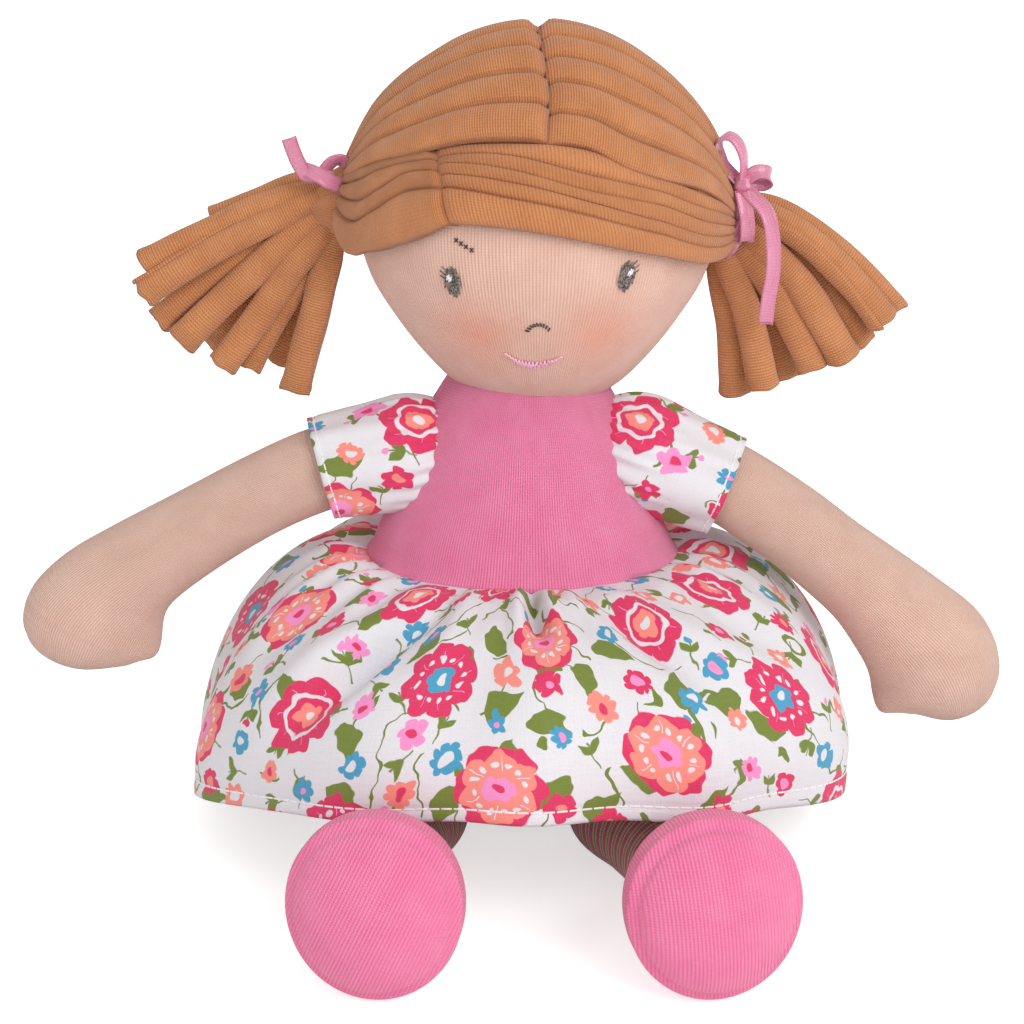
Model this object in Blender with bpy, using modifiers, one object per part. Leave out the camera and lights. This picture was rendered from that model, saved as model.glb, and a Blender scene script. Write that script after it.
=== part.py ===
"""A seated rag doll, modelled as its sewn and stuffed pieces.

Sizes are in metres and angles in radians, with +Z up. The doll sits on the
floor plane and faces -Y, so +X is on the right in a front view. Its body's
middle line, which leans back, starts at the origin. Left and right in the
names are as seen in that view.
"""

import math

import bmesh
import bpy
from mathutils import Matrix, Vector
from mathutils.bvhtree import BVHTree

# Clearances and general values
sewn_gap = 0.0003
overrun = 0.02
floor_cut = 0.0005
sides = (-1, 1)
side_names = {-1: "left", 1: "right"}

# Body: one stuffed bag, pink knit above the waist seam and plain cotton below
body_lean = math.radians(12)
body_drift = math.radians(1)
body_length = 0.104
body_width = 0.074
body_depth = 0.054
body_ring_shares = (
    (0.03, 0.62, 0.64),
    (0.12, 0.92, 0.94),
    (0.30, 1.00, 1.00),
    (0.47, 0.97, 0.97),
    (0.60, 0.89, 0.90),
    (0.71, 0.76, 0.84),
    (0.83, 0.66, 0.76),
    (0.91, 0.56, 0.68),
    (0.98, 0.48, 0.62),
)
seat_bulge = 0.0015
waist_seam_share = 0.5865
waist_up = body_length * waist_seam_share
waist_tilt = math.radians(5)
neck_share = 0.9375
neck_up = body_length * neck_share

# Head
head_width = 0.077
head_depth = 0.070
head_height = 0.079
head_shift = 0.0025
neck_sink = 0.0045
cheek_share = 0.035
head_spans = 8

# Hips and legs
hip_side = 0.0150
hip_forward = 0.0160
leg_radius = 0.0118
leg_ring_shares = ((0.0, 0.97), (0.25, 1.0), (0.55, 1.0), (0.85, 0.97))
ankle_side_share = 0.93
ankle_back_share = 0.20
ankle_up_share = 1.18
foot_width = 0.0365
foot_height = 0.0410
foot_depth = 0.0270
foot_lean = math.radians(13)
foot_turns = {-1: math.radians(-8), 1: math.radians(10)}
foot_side_left = 0.0285
foot_side_right = 0.0388
foot_sides = {-1: -foot_side_left, 1: foot_side_right}
foot_forward = 0.0710
foot_ring_shares = ((0.10, 0.66), (0.28, 0.94), (0.50, 1.0), (0.72, 0.92), (0.90, 0.62))
sole_depth_share = 0.16

# Shoulders, sleeves and arms
shoulder_share = 0.798
shoulder_up = body_length * shoulder_share
shoulder_side = 0.0268
shoulder_forward = 0.0025
arm_width = 0.0185
arm_depth = 0.0180
sleeve_ball = 0.0264
sleeve_hem = 0.0226
sleeve_wall = 0.0009
sleeve_reach = 0.0195
sleeve_folds = 9
sleeve_fold = 0.0002
sleeve_start_share = 0.36
sleeve_taper_power = 0.9
arm_swing_back = math.radians(-20)
arm_swing_forward = math.radians(45)
arm_swing_steps = 6
arm_reach = 0.1000
arm_route_shares = {
    -1: (
        (-0.001, 0.000, 0.98, 0.98),
        (0.090, -0.008, 0.99, 0.99),
        (0.190, -0.024, 1.00, 1.00),
        (0.310, -0.076, 1.02, 1.02),
        (0.447, -0.150, 1.10, 1.06),
        (0.580, -0.218, 1.18, 1.08),
        (0.670, -0.285, 1.36, 1.06),
        (0.720, -0.355, 1.48, 1.00),
        (0.742, -0.415, 1.24, 0.90),
    ),
    1: (
        (-0.001, 0.000, 0.98, 0.98),
        (0.090, -0.016, 0.99, 0.99),
        (0.190, -0.052, 1.01, 1.00),
        (0.316, -0.130, 1.06, 1.02),
        (0.415, -0.199, 1.09, 1.06),
        (0.500, -0.268, 1.14, 1.08),
        (0.572, -0.345, 1.30, 1.06),
        (0.628, -0.425, 1.50, 1.00),
        (0.658, -0.500, 1.46, 0.94),
        (0.672, -0.545, 1.16, 0.84),
    ),
}
arm_tip_shares = {-1: (0.755, -0.478), 1: (0.684, -0.612)}
arm_forward_share = 0.13
arm_root_share = 0.42
thumb_size = 0.0090
thumb_shares = {-1: (0.605, -0.425), 1: (0.535, -0.560)}

# Skirt: a gathered sheet from the waist seam to the hem
skirt_side = 0.0735
skirt_front = 0.0590
skirt_back = 0.0640
skirt_top = 0.0620
skirt_hem_back = 0.0045
skirt_hem_front = 0.0315
skirt_cloth = 0.0010
skirt_middle = 0.0040
skirt_folds = 15
skirt_fold = 0.0013
skirt_fold_share = 0.62
skirt_fold_drift = 0.8
skirt_fold_drifts = 3
skirt_waist_share = 0.125
skirt_drop_power = 1.15
skirt_lift_reach = math.radians(97)

# Hair: two rows of jersey strips swept from the parting to the ties
hair_thickness = 0.0031
hair_relief = 0.0008
hair_lift = 0.0009
hair_strips = 16
hair_hole = 0.0068
parting_front = math.radians(60)
parting_back = math.radians(-122)
parting_lap = math.radians(2)
fringe_gap = math.radians(2.4)
tie_tilts = {-1: math.radians(12), 1: math.radians(0)}
fringe_side = -0.0195
fringe_start = math.radians(31)
fringe_strips = {-1: 3, 1: 5}
fringe_low_angles = {
    -1: (math.radians(90), math.radians(124)),
    1: (math.radians(85), math.radians(103)),
}

# Pigtails and ribbons
tie_out = 0.0071
tie_ball = 0.0148
strand_width = 0.0056
strand_top_lengths = {-1: 0.0400, 1: 0.0345}
strand_low_lengths = {-1: 0.0475, 1: 0.0375}
strand_count = 13
strand_layers = 0.0070
strand_top_angles = {-1: math.radians(-20), 1: math.radians(-26)}
strand_low_angles = {-1: math.radians(-78), 1: math.radians(-94)}
strand_bend_share = 0.66
strand_uneven_share = 0.08
strand_uneven_turn = 2.1
strand_spread_share = 1.5
strand_steps = 5
ribbon_width = 0.0030
ribbon_cloth = 0.0006
band_radius = 0.0084
band_thickness = 0.0016
band_out = 0.0039
knot_size = 0.0044
bow_size = 0.0120
bow_shares = {
    -1: {
        "tail": ((0.0, 0.0, 0.0), (-0.25, -0.05, 0.12), (-0.50, -0.05, 0.26), (-0.78, 0.0, 0.62)),
        "loop": ((0.0, 0.0, 0.0), (0.16, 0.02, 0.26), (0.24, 0.10, 0.42), (0.40, 0.12, 0.36)),
    },
    1: {
        "tail": (
            (0.0, 0.0, 0.0),
            (0.28, -0.22, -0.45),
            (0.44, -0.26, -1.05),
            (0.42, -0.24, -1.75),
            (0.24, -0.20, -2.60),
        ),
        "loop": ((0.0, 0.0, 0.0), (-0.20, -0.26, 0.50), (-0.46, -0.34, 0.80), (-0.50, -0.30, 0.40)),
        "small_loop": ((0.0, 0.0, 0.0), (0.20, -0.10, 0.10), (0.46, -0.08, 0.04), (0.52, 0.02, -0.14)),
    },
}
knot_lifts = {-1: 0.0040, 1: 0.0105}

# Embroidered face
eye_width = 0.0033
eye_height = 0.0062
stitch_height = 0.0005
stitch_gap = 0.00045
eye_azimuth = math.radians(31.5)
eye_elevation = math.radians(-11.3)
brow_thread = 0.0006
nose_thread = 0.0006
mouth_thread = 0.0009
brow_angles = (
    (math.radians(-28.3), math.radians(1.2)),
    (math.radians(-25.2), math.radians(-0.3)),
    (math.radians(-21.7), math.radians(-1.5)),
)
nose_angles = (
    (math.radians(-5.0), math.radians(-29.8)),
    (math.radians(-2.7), math.radians(-27.5)),
    (math.radians(-0.1), math.radians(-26.7)),
    (math.radians(2.8), math.radians(-27.5)),
    (math.radians(4.7), math.radians(-29.1)),
)
mouth_angles = (
    (math.radians(-14.4), math.radians(-39.1)),
    (math.radians(-9.4), math.radians(-43.1)),
    (math.radians(-2.8), math.radians(-44.5)),
    (math.radians(5.2), math.radians(-43.1)),
    (math.radians(9.8), math.radians(-40.8)),
)

# Colours as shaded in the finished toy
pink = (0.84, 0.13, 0.36, 1)
print_white = (0.87, 0.85, 0.84, 1)
skin = (0.81, 0.50, 0.36, 1)
cotton = (0.85, 0.80, 0.72, 1)
hair_brown = (0.55, 0.24, 0.08, 1)
ribbon_pink = (0.84, 0.25, 0.42, 1)
stripe_pink = (0.70, 0.22, 0.30, 1)
thread_grey = (0.20, 0.15, 0.13, 1)
lip_pink = (0.85, 0.40, 0.48, 1)

# The body's own directions: up its leaning axis, and straight out of its back
x_axis = Vector((1, 0, 0))
y_axis = Vector((0, 1, 0))
z_axis = Vector((0, 0, 1))
body_up = Vector((0, math.sin(body_lean), math.cos(body_lean)))
body_back = Vector((0, math.cos(body_lean), -math.sin(body_lean)))


def clear_scene():
    for old in list(bpy.data.objects):
        bpy.data.objects.remove(old)


def new_collection(name):
    collection = bpy.data.collections.new(name)
    bpy.context.scene.collection.children.link(collection)
    return collection


def material(name, colour, roughness=0.9):
    made = bpy.data.materials.new(name)
    made.use_nodes = True
    shader = made.node_tree.nodes["Principled BSDF"]
    shader.inputs["Base Color"].default_value = colour
    shader.inputs["Roughness"].default_value = roughness
    shader.inputs["Metallic"].default_value = 0
    return made


def finish_mesh(bm, name):
    bmesh.ops.recalc_face_normals(bm, faces=bm.faces)
    mesh = bpy.data.meshes.new(name)
    bm.to_mesh(mesh)
    bm.free()
    return mesh


def add_part(name, mesh, made_of, origin=None):
    """Add a finished piece; a moving piece has its origin on its joint's axis."""
    if origin is not None:
        mesh.transform(Matrix.Translation(-origin))
    mesh.shade_smooth()
    mesh.materials.clear()
    mesh.materials.append(made_of)
    part = bpy.data.objects.new(name, mesh)
    if origin is not None:
        part.location = origin
    doll.objects.link(part)
    return part


def add_cutter(name, mesh):
    cutter = bpy.data.objects.new(name, mesh)
    cutter.hide_render = True
    cutter.display_type = "WIRE"
    cutters.objects.link(cutter)
    return cutter


def evaluated_mesh(item):
    """The mesh of an object with its modifiers, in world space."""
    bpy.context.view_layer.update()
    graph = bpy.context.evaluated_depsgraph_get()
    mesh = bpy.data.meshes.new_from_object(item.evaluated_get(graph))
    mesh.transform(item.matrix_world)
    return mesh


def settle(part):
    """Apply a piece's modifiers."""
    bpy.context.view_layer.update()
    graph = bpy.context.evaluated_depsgraph_get()
    part.data = bpy.data.meshes.new_from_object(part.evaluated_get(graph))
    part.modifiers.clear()


def subtract(part, cutter):
    cut = part.modifiers.new("cut by " + cutter.name, "BOOLEAN")
    cut.operation = "DIFFERENCE"
    cut.solver = "EXACT"
    cut.object = cutter
    settle(part)


def join(part, others):
    """Union the objects of a collection with a part, into one body."""
    union = part.modifiers.new("joined", "BOOLEAN")
    union.operation = "UNION"
    union.solver = "EXACT"
    union.operand_type = "COLLECTION"
    union.collection = others
    settle(part)


def subdivided(mesh, levels=1):
    """The smooth form of a cage."""
    cage = bpy.data.objects.new("cage", mesh)
    cutters.objects.link(cage)
    smooth = cage.modifiers.new("smooth", "SUBSURF")
    smooth.levels = levels
    smooth.render_levels = levels
    smooth.use_limit_surface = False
    made = evaluated_mesh(cage)
    bpy.data.objects.remove(cage)
    return made


def flat_cut(mesh, point, outward):
    """Cut away what lies past a plane and close the cut with a flat face."""
    bm = bmesh.new()
    bm.from_mesh(mesh)
    everything = bm.verts[:] + bm.edges[:] + bm.faces[:]
    cut = bmesh.ops.bisect_plane(
        bm, geom=everything, plane_co=point, plane_no=outward, clear_outer=True
    )
    rim = [item for item in cut["geom_cut"] if isinstance(item, bmesh.types.BMEdge)]
    bmesh.ops.edgeloop_fill(bm, edges=rim)
    return finish_mesh(bm, mesh.name)


# How far subdivision draws a cage's tip in, as a share for each of its corners
tip_draw = 5 / 3


def surface_of(mesh):
    """A mesh's surface, ready for rays to find points on it."""
    bm = bmesh.new()
    bm.from_mesh(mesh)
    surface = BVHTree.FromBMesh(bm)
    bm.free()
    return surface


def cage_swell(corners):
    """How much wider than its smooth form a ring of the cage is."""
    return 8 / (6 + 2 * math.cos(math.tau / corners))


def path_frame(points, place, deep_axis):
    """Directions across and deep, square to a path at one of its points."""
    before = points[max(place - 1, 0)]
    after = points[min(place + 1, len(points) - 1)]
    along = (after - before).normalized()
    across = along.cross(deep_axis).normalized()
    return across, across.cross(along)


def stuffed_mesh(name, rings, tips, deep_axis, corners, grow=0.0):
    """A stuffed form round a path.

    A ring is its centre, half its width and half its depth. The first and last
    rings close onto the two tips. The cage is a UV sphere whose rings follow
    the path, made smooth by subdivision.
    """
    bm = bmesh.new()
    spans = len(rings) + 1
    bmesh.ops.create_uvsphere(bm, u_segments=corners, v_segments=spans, radius=1)
    path = [tips[0]] + [ring[0] for ring in rings] + [tips[1]]
    swell = cage_swell(corners)
    for vert in bm.verts:
        level = round(math.acos(max(-1, min(1, vert.co.z))) / math.pi * spans)
        if level in (0, spans):
            beside = path[1 if level == 0 else -2]
            outward = path[level] - beside
            vert.co = beside + outward / (1 - tip_draw / corners) + outward.normalized() * grow
            continue
        centre, half_width, half_depth = rings[level - 1]
        across, deep = path_frame(path, level, deep_axis)
        turn = math.atan2(vert.co.y, vert.co.x)
        vert.co = (
            centre
            + across * (half_width * swell + grow) * math.cos(turn)
            + deep * (half_depth * swell + grow) * math.sin(turn)
        )
    return subdivided(finish_mesh(bm, name))


def grid_mesh(name, across, along, place, inside, closed=False):
    """A sheet whose points follow place(u, v), with u and v from 0 to 1.

    Its faces look away from the point inside.
    """
    bm = bmesh.new()
    bmesh.ops.create_grid(bm, x_segments=across, y_segments=along, size=1)
    seam = []
    for vert in bm.verts:
        u, v = (vert.co.x + 1) / 2, (vert.co.y + 1) / 2
        vert.co = place(u, v)
        if u < 0.5 / across or u > 1 - 0.5 / across:
            seam.append(vert)
    if closed:
        bmesh.ops.remove_doubles(bm, verts=seam, dist=sewn_gap / 10)
    bmesh.ops.recalc_face_normals(bm, faces=bm.faces)
    looks_out = sum(face.normal.dot(face.calc_center_median() - inside) for face in bm.faces)
    if looks_out < 0:
        bmesh.ops.reverse_faces(bm, faces=bm.faces)
    mesh = bpy.data.meshes.new(name)
    bm.to_mesh(mesh)
    bm.free()
    return mesh


def thicken(part, thickness, offset):
    wall = part.modifiers.new("wall", "SOLIDIFY")
    wall.thickness = thickness
    wall.offset = offset
    wall.use_even_offset = False
    settle(part)


def ball_mesh(name, centre, radius, segments, rings):
    bm = bmesh.new()
    bmesh.ops.create_uvsphere(bm, u_segments=segments, v_segments=rings, radius=radius)
    bmesh.ops.translate(bm, verts=bm.verts, vec=centre)
    return finish_mesh(bm, name)


def tube_mesh(name, points, radius, resolution=1):
    """A round thread or strand along points, with closed ends."""
    curve = bpy.data.curves.new(name, "CURVE")
    curve.dimensions = "3D"
    curve.bevel_depth = radius
    curve.bevel_resolution = resolution
    curve.use_fill_caps = True
    spline = curve.splines.new("POLY")
    spline.points.add(len(points) - 1)
    for spot, point in zip(spline.points, points):
        spot.co = (*point, 1)
    item = bpy.data.objects.new(name, curve)
    cutters.objects.link(item)
    mesh = evaluated_mesh(item)
    bpy.data.objects.remove(item)
    bm = bmesh.new()
    bm.from_mesh(mesh)
    bmesh.ops.remove_doubles(bm, verts=bm.verts, dist=radius / 100)
    return finish_mesh(bm, name)


def smooth_path(points, steps):
    """Points of a Catmull-Rom curve through the given ones."""
    padded = [points[0] * 2 - points[1], *points, points[-1] * 2 - points[-2]]
    made = []
    for a, b, c, d in zip(padded, padded[1:], padded[2:], padded[3:]):
        for step in range(steps):
            t = step / steps
            made.append(
                (b * 2 + (c - a) * t + (a * 2 - b * 5 + c * 4 - d) * t**2 + (b * 3 - a - c * 3 + d) * t**3) / 2
            )
    return made + [points[-1]]


def body_point(up):
    """A point on the body's middle line, a distance up from the floor."""
    return body_up * up + x_axis * up * math.tan(body_drift)


def body_mesh():
    rings = [
        (body_point(up * body_length), wide * body_width / 2, deep * body_depth / 2)
        for up, wide, deep in body_ring_shares
    ]
    tips = (body_point(-seat_bulge), body_point(body_length))
    return stuffed_mesh("body", rings, tips, body_back, 12)


def waist_plane():
    """The seam's middle and its upward direction."""
    return body_point(waist_up), Vector((0, math.sin(waist_tilt), math.cos(waist_tilt)))


def hip_point(side):
    return Vector((side * hip_side, -hip_forward, leg_radius))


def hip_cutter():
    """The rebate along the seat's front edge, rounded where both legs swing."""
    reach = leg_radius + sewn_gap
    low = Vector((-body_width, -hip_forward - body_depth, -overrun))
    high = Vector((body_width, reach - hip_forward, leg_radius + reach))
    bm = bmesh.new()
    bmesh.ops.create_cube(bm, size=1)
    for vert in bm.verts:
        vert.co = [a + (b - a) * (c + 0.5) for a, b, c in zip(low, high, vert.co)]
    corner = [e for e in bm.edges if all(v.co.y > low.y / 2 and v.co.z > 0 for v in e.verts)]
    bmesh.ops.bevel(bm, geom=corner, offset=reach, segments=8, profile=0.5, affect="EDGES")
    return add_cutter("hip_cutter", finish_mesh(bm, "hip_cutter"))


def shoulder_point(side):
    return body_point(shoulder_up) + x_axis * side * shoulder_side - y_axis * shoulder_forward


def sleeve_direction(side):
    """The way the sleeve points from the shoulder, at rest."""
    out, up = arm_route_shares[side][2][:2]
    return (arm_point(side, out, up) - shoulder_point(side)).normalized()


def socket_cutter(side):
    """The room a sleeve's root and its swinging cone need in the bodice."""
    name = side_names[side]
    shoulder = shoulder_point(side)
    socket = add_cutter("socket_" + name, ball_mesh("socket", shoulder, sleeve_ball / 2 + sewn_gap, 24, 14))
    cones = bpy.data.collections.new("sleeve_swing_" + name)
    cutters.children.link(cones)
    facets = 20
    outside = 1 / math.cos(math.pi / facets)
    for step in range(arm_swing_steps + 1):
        swing = arm_swing_back + (arm_swing_forward - arm_swing_back) * step / arm_swing_steps
        bm = bmesh.new()
        bmesh.ops.create_cone(
            bm,
            cap_ends=True,
            segments=facets,
            radius1=(sleeve_ball / 2 + sewn_gap) * outside,
            radius2=(sleeve_hem / 2 + sleeve_fold + sewn_gap) * outside,
            depth=sleeve_reach + sewn_gap,
        )
        bmesh.ops.translate(bm, verts=bm.verts, vec=z_axis * (sleeve_reach + sewn_gap) / 2)
        aim = z_axis.rotation_difference(sleeve_direction(side)).to_matrix().to_4x4()
        turned = Matrix.Rotation(-side * swing, 4, body_up)
        bm.transform(Matrix.Translation(shoulder) @ turned @ aim)
        cone = bpy.data.objects.new("sleeve_swing_%s_%d" % (name, step), finish_mesh(bm, "cone"))
        cone.hide_render = True
        cone.display_type = "WIRE"
        cones.objects.link(cone)
    join(socket, cones)
    return socket


def build_body(knit, plain):
    """The bodice and the seat, parted at the waist seam."""
    whole = body_mesh()
    surface = surface_of(whole)
    seam, seam_up = waist_plane()
    upper = flat_cut(whole, seam + seam_up * sewn_gap / 2, -seam_up)
    upper = flat_cut(upper, body_point(neck_up - sewn_gap), body_up)
    torso = add_part("torso", upper, knit)
    for side in sides:
        subtract(torso, socket_cutter(side))
    lower = flat_cut(whole, seam - seam_up * sewn_gap / 2, seam_up)
    lower = flat_cut(lower, Vector(), -z_axis)
    seat = add_part("seat", lower, plain)
    subtract(seat, hip_cutter())
    return surface


def leg_rings(side):
    hip = hip_point(side)
    ankle = Vector((
        foot_sides[side] * ankle_side_share,
        foot_depth * ankle_back_share - foot_forward,
        leg_radius * ankle_up_share,
    ))
    rings = []
    for along, wide in leg_ring_shares:
        rings.append((hip.lerp(ankle, along), wide * leg_radius, wide * leg_radius))
    back = hip - ankle
    tips = (hip + back * leg_radius / math.hypot(back.y, back.z), ankle)
    return rings, tips


def foot_frame(side):
    """The foot's middle and its directions: to the toes, and out of the sole."""
    turn = Matrix.Rotation(foot_turns[side], 3, "Z")
    toes = turn @ Vector((0, math.sin(foot_lean), math.cos(foot_lean)))
    sole = turn @ Vector((0, -math.cos(foot_lean), math.sin(foot_lean)))
    middle = Vector((foot_sides[side], -foot_forward, foot_height / 2 - floor_cut))
    return middle, toes, sole


def foot_mesh(side, grow=0.0):
    middle, toes, sole = foot_frame(side)
    heel = middle - toes * foot_height / 2
    rings = [
        (heel + toes * up * foot_height, wide * foot_width / 2, wide * foot_depth / 2)
        for up, wide in foot_ring_shares
    ]
    tips = (heel, heel + toes * foot_height)
    return stuffed_mesh("foot", rings, tips, -sole, 12, grow)


def build_leg(side, striped, knit):
    name = side_names[side]
    hip = hip_point(side)
    rings, tips = leg_rings(side)
    leg_form = stuffed_mesh("leg", rings, tips, z_axis, 10)
    leg_form = flat_cut(leg_form, Vector(), -z_axis)
    leg = add_part("leg_" + name, leg_form, striped, hip)
    subtract(leg, add_cutter("ankle_cutter_" + name, foot_mesh(side, sewn_gap)))
    middle, toes, sole = foot_frame(side)
    seam = middle + sole * foot_depth * sole_depth_share
    form = flat_cut(foot_mesh(side), Vector(), -z_axis)
    add_part("foot_" + name, flat_cut(form, seam - sole * sewn_gap / 2, sole), knit, hip.copy())
    add_part("sole_" + name, flat_cut(form, seam + sole * sewn_gap / 2, -sole), knit, hip.copy())


def arm_point(side, out_share, up_share):
    shoulder = shoulder_point(side)
    forward = arm_forward_share * out_share * arm_reach
    return shoulder + Vector((side * out_share, 0, up_share)) * arm_reach - y_axis * forward


def build_arm(side, fabric, printed):
    name = side_names[side]
    shoulder = shoulder_point(side)
    rings = [
        (arm_point(side, out, up), wide * arm_width / 2, deep * arm_depth / 2)
        for out, up, wide, deep in arm_route_shares[side]
    ]
    first = rings[0][0] - (rings[1][0] - rings[0][0]).normalized() * arm_width * arm_root_share
    tips = (first, arm_point(side, *arm_tip_shares[side]))
    form = stuffed_mesh("arm", rings, tips, y_axis, 10)
    arm = add_part("arm_" + name, form, fabric, shoulder)
    thumb_middle = arm_point(side, *thumb_shares[side])
    thumb = ball_mesh("thumb", thumb_middle, thumb_size / 2, 10, 8)
    thumbs = bpy.data.collections.new("thumb_" + name)
    cutters.children.link(thumbs)
    nub = add_cutter("thumb_form_" + name, thumb)
    cutters.objects.unlink(nub)
    thumbs.objects.link(nub)
    join(arm, thumbs)
    build_sleeve(side, printed)


def build_sleeve(side, printed):
    """A short gathered tube round the top of the arm, open at the hem."""
    shoulder = shoulder_point(side)
    outward = sleeve_direction(side)
    across = outward.cross(y_axis).normalized()
    deep = across.cross(outward)
    start = -sleeve_ball * sleeve_start_share
    ball = sleeve_ball / 2 - sewn_gap / 10

    def place(u, v):
        along = start + (sleeve_reach - start) * v
        turn = u * math.tau
        if along < 0:
            radius = math.sqrt(ball**2 - along**2)
        else:
            share = along / sleeve_reach
            radius = ball + (sleeve_hem / 2 - ball) * share**sleeve_taper_power
            radius += sleeve_fold * math.cos(sleeve_folds * turn) * share
        return shoulder + outward * along + (across * math.cos(turn) + deep * math.sin(turn)) * radius

    mesh = grid_mesh("sleeve", 18, 5, place, shoulder, True)
    sleeve = add_part("sleeve_" + side_names[side], mesh, printed, shoulder)
    thicken(sleeve, sleeve_wall, -1)


def build_skirt(body_surface, printed):
    """The gathered sheet: a dome profile from the waist seam to a waved hem."""
    seam, seam_up = waist_plane()
    level_front = Vector((0, -math.cos(waist_tilt), math.sin(waist_tilt)))

    def place(u, v):
        turn = u * math.tau
        front = math.cos(turn)
        from_front = abs(math.remainder(turn, math.tau)) / skirt_lift_reach
        outward = x_axis * math.sin(turn) + level_front * front
        waist = body_surface.ray_cast(seam, outward)[0] + outward * sewn_gap * 2
        depth = skirt_front if front > 0 else skirt_back
        hem = Vector((skirt_side * math.sin(turn), skirt_middle - (depth + skirt_middle * front) * front, 0))
        hem.z = skirt_hem_back + (skirt_hem_front - skirt_hem_back) * max(0, 1 - from_front**3)
        swing = math.radians(90) * v
        out = math.sin(swing)
        down = math.cos(swing) ** skirt_drop_power
        top = waist.z + (skirt_top - seam.z) * min(1, v / skirt_waist_share)
        point = waist.lerp(hem, out)
        point.z = hem.z + (top - hem.z) * down
        drift = skirt_fold_drift * math.sin(skirt_fold_drifts * turn)
        wave = math.cos(skirt_folds * turn + drift)
        fold = skirt_fold * wave * min(1, v / skirt_fold_share)
        return point + Vector((math.sin(turn), -front, 0)) * fold

    skirt = add_part("skirt", grid_mesh("skirt", 60, 6, place, Vector(), True), printed)
    thicken(skirt, skirt_cloth, -1)


def head_centre():
    return body_point(neck_up) + body_up * (head_height / 2 - neck_sink) + x_axis * head_shift


def build_head(fabric):
    """A stuffed ball, fuller at the cheeks and flat where it is sewn to the neck."""
    centre = head_centre()
    rings = []
    for step in range(1, head_spans):
        turn = step / head_spans * math.pi
        up = -math.cos(turn) * head_height / 2
        cheek = 1 + cheek_share * math.sin(turn) * math.cos(turn)
        wide = math.sin(turn) * cheek
        rings.append((centre + body_up * up, wide * head_width / 2, wide * head_depth / 2))
    tips = (centre - body_up * head_height / 2, centre + body_up * head_height / 2)
    form = stuffed_mesh("head", rings, tips, body_back, 14)
    form = flat_cut(form, body_point(neck_up), -body_up)
    surface = surface_of(form)
    add_part("head", form, fabric, body_point(neck_up))
    return surface


def face_direction(azimuth, elevation):
    """A direction from the head's middle: azimuth 0 is the nose."""
    level = x_axis * math.sin(azimuth) - body_back * math.cos(azimuth)
    return level * math.cos(elevation) + body_up * math.sin(elevation)


def on_head(surface, direction, lift):
    """The point a lift above the head's surface, seen from its middle."""
    centre = head_centre()
    hit = surface.ray_cast(centre, direction)[0]
    return hit + direction * lift


def tie_direction(side):
    tilt = tie_tilts[side]
    return (x_axis * side * math.cos(tilt) + z_axis * math.sin(tilt)).normalized()


def hair_direction(side, lap, turn):
    """From the parting (lap 0) to the tie (a quarter turn), at a turn from the crown."""
    parting = body_up * math.cos(turn) - body_back * math.sin(turn)
    return (parting * math.cos(lap) + tie_direction(side) * math.sin(lap)).normalized()


def hair_patch(surface, side, laps, turns, strips, rows):
    """A sheet of ribbed strips over the head, between two laps and two turns."""

    def place(u, v):
        lap = laps[0] + (laps[1] - laps[0]) * v
        first, last = turns(v)
        direction = hair_direction(side, lap, first + (last - first) * u)
        rib = hair_relief * abs(math.sin(u * strips * math.pi))
        return on_head(surface, direction, hair_lift + hair_thickness + rib)

    return grid_mesh("hair", strips * 3, rows, place, head_centre())


def sewn_strips(name, sheet, seam_side, side, jersey):
    """Thicken a sheet of strips, and square it off at its parting seam."""
    strips = bpy.data.objects.new(name, sheet)
    cutters.objects.link(strips)
    thicken(strips, hair_thickness, -1)
    solid = strips.data
    bpy.data.objects.remove(strips)
    seam = head_centre() + x_axis * (seam_side + side * sewn_gap)
    add_part(name, flat_cut(solid, seam, -x_axis * side), jersey, body_point(neck_up))


def build_hair(surface, jersey):
    """A cap of strips on each side of the middle parting, and a fringe under it."""
    last_lap = math.acos(hair_hole / (head_width / 2 + hair_thickness))
    for side in sides:
        name = side_names[side]
        lows = fringe_low_angles[side]

        def cap_turns(v):
            return parting_back, parting_front

        def fringe_turns(v):
            return parting_front + fringe_gap, lows[0] + (lows[1] - lows[0]) * v

        cap = hair_patch(surface, side, (-parting_lap, last_lap), cap_turns, hair_strips, 5)
        sewn_strips("hair_" + name, cap, 0, side, jersey)
        first_lap = fringe_start * -side - parting_lap * 2
        fringe_laps = (first_lap, last_lap - parting_lap)
        fringe = hair_patch(surface, side, fringe_laps, fringe_turns, fringe_strips[side], 6)
        sewn_strips("fringe_" + name, fringe, fringe_side, side, jersey)


def tie_point(side, out):
    """A point on the tie's line, a distance out from the head's side."""
    return head_centre() + tie_direction(side) * (head_width / 2 + out)


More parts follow.
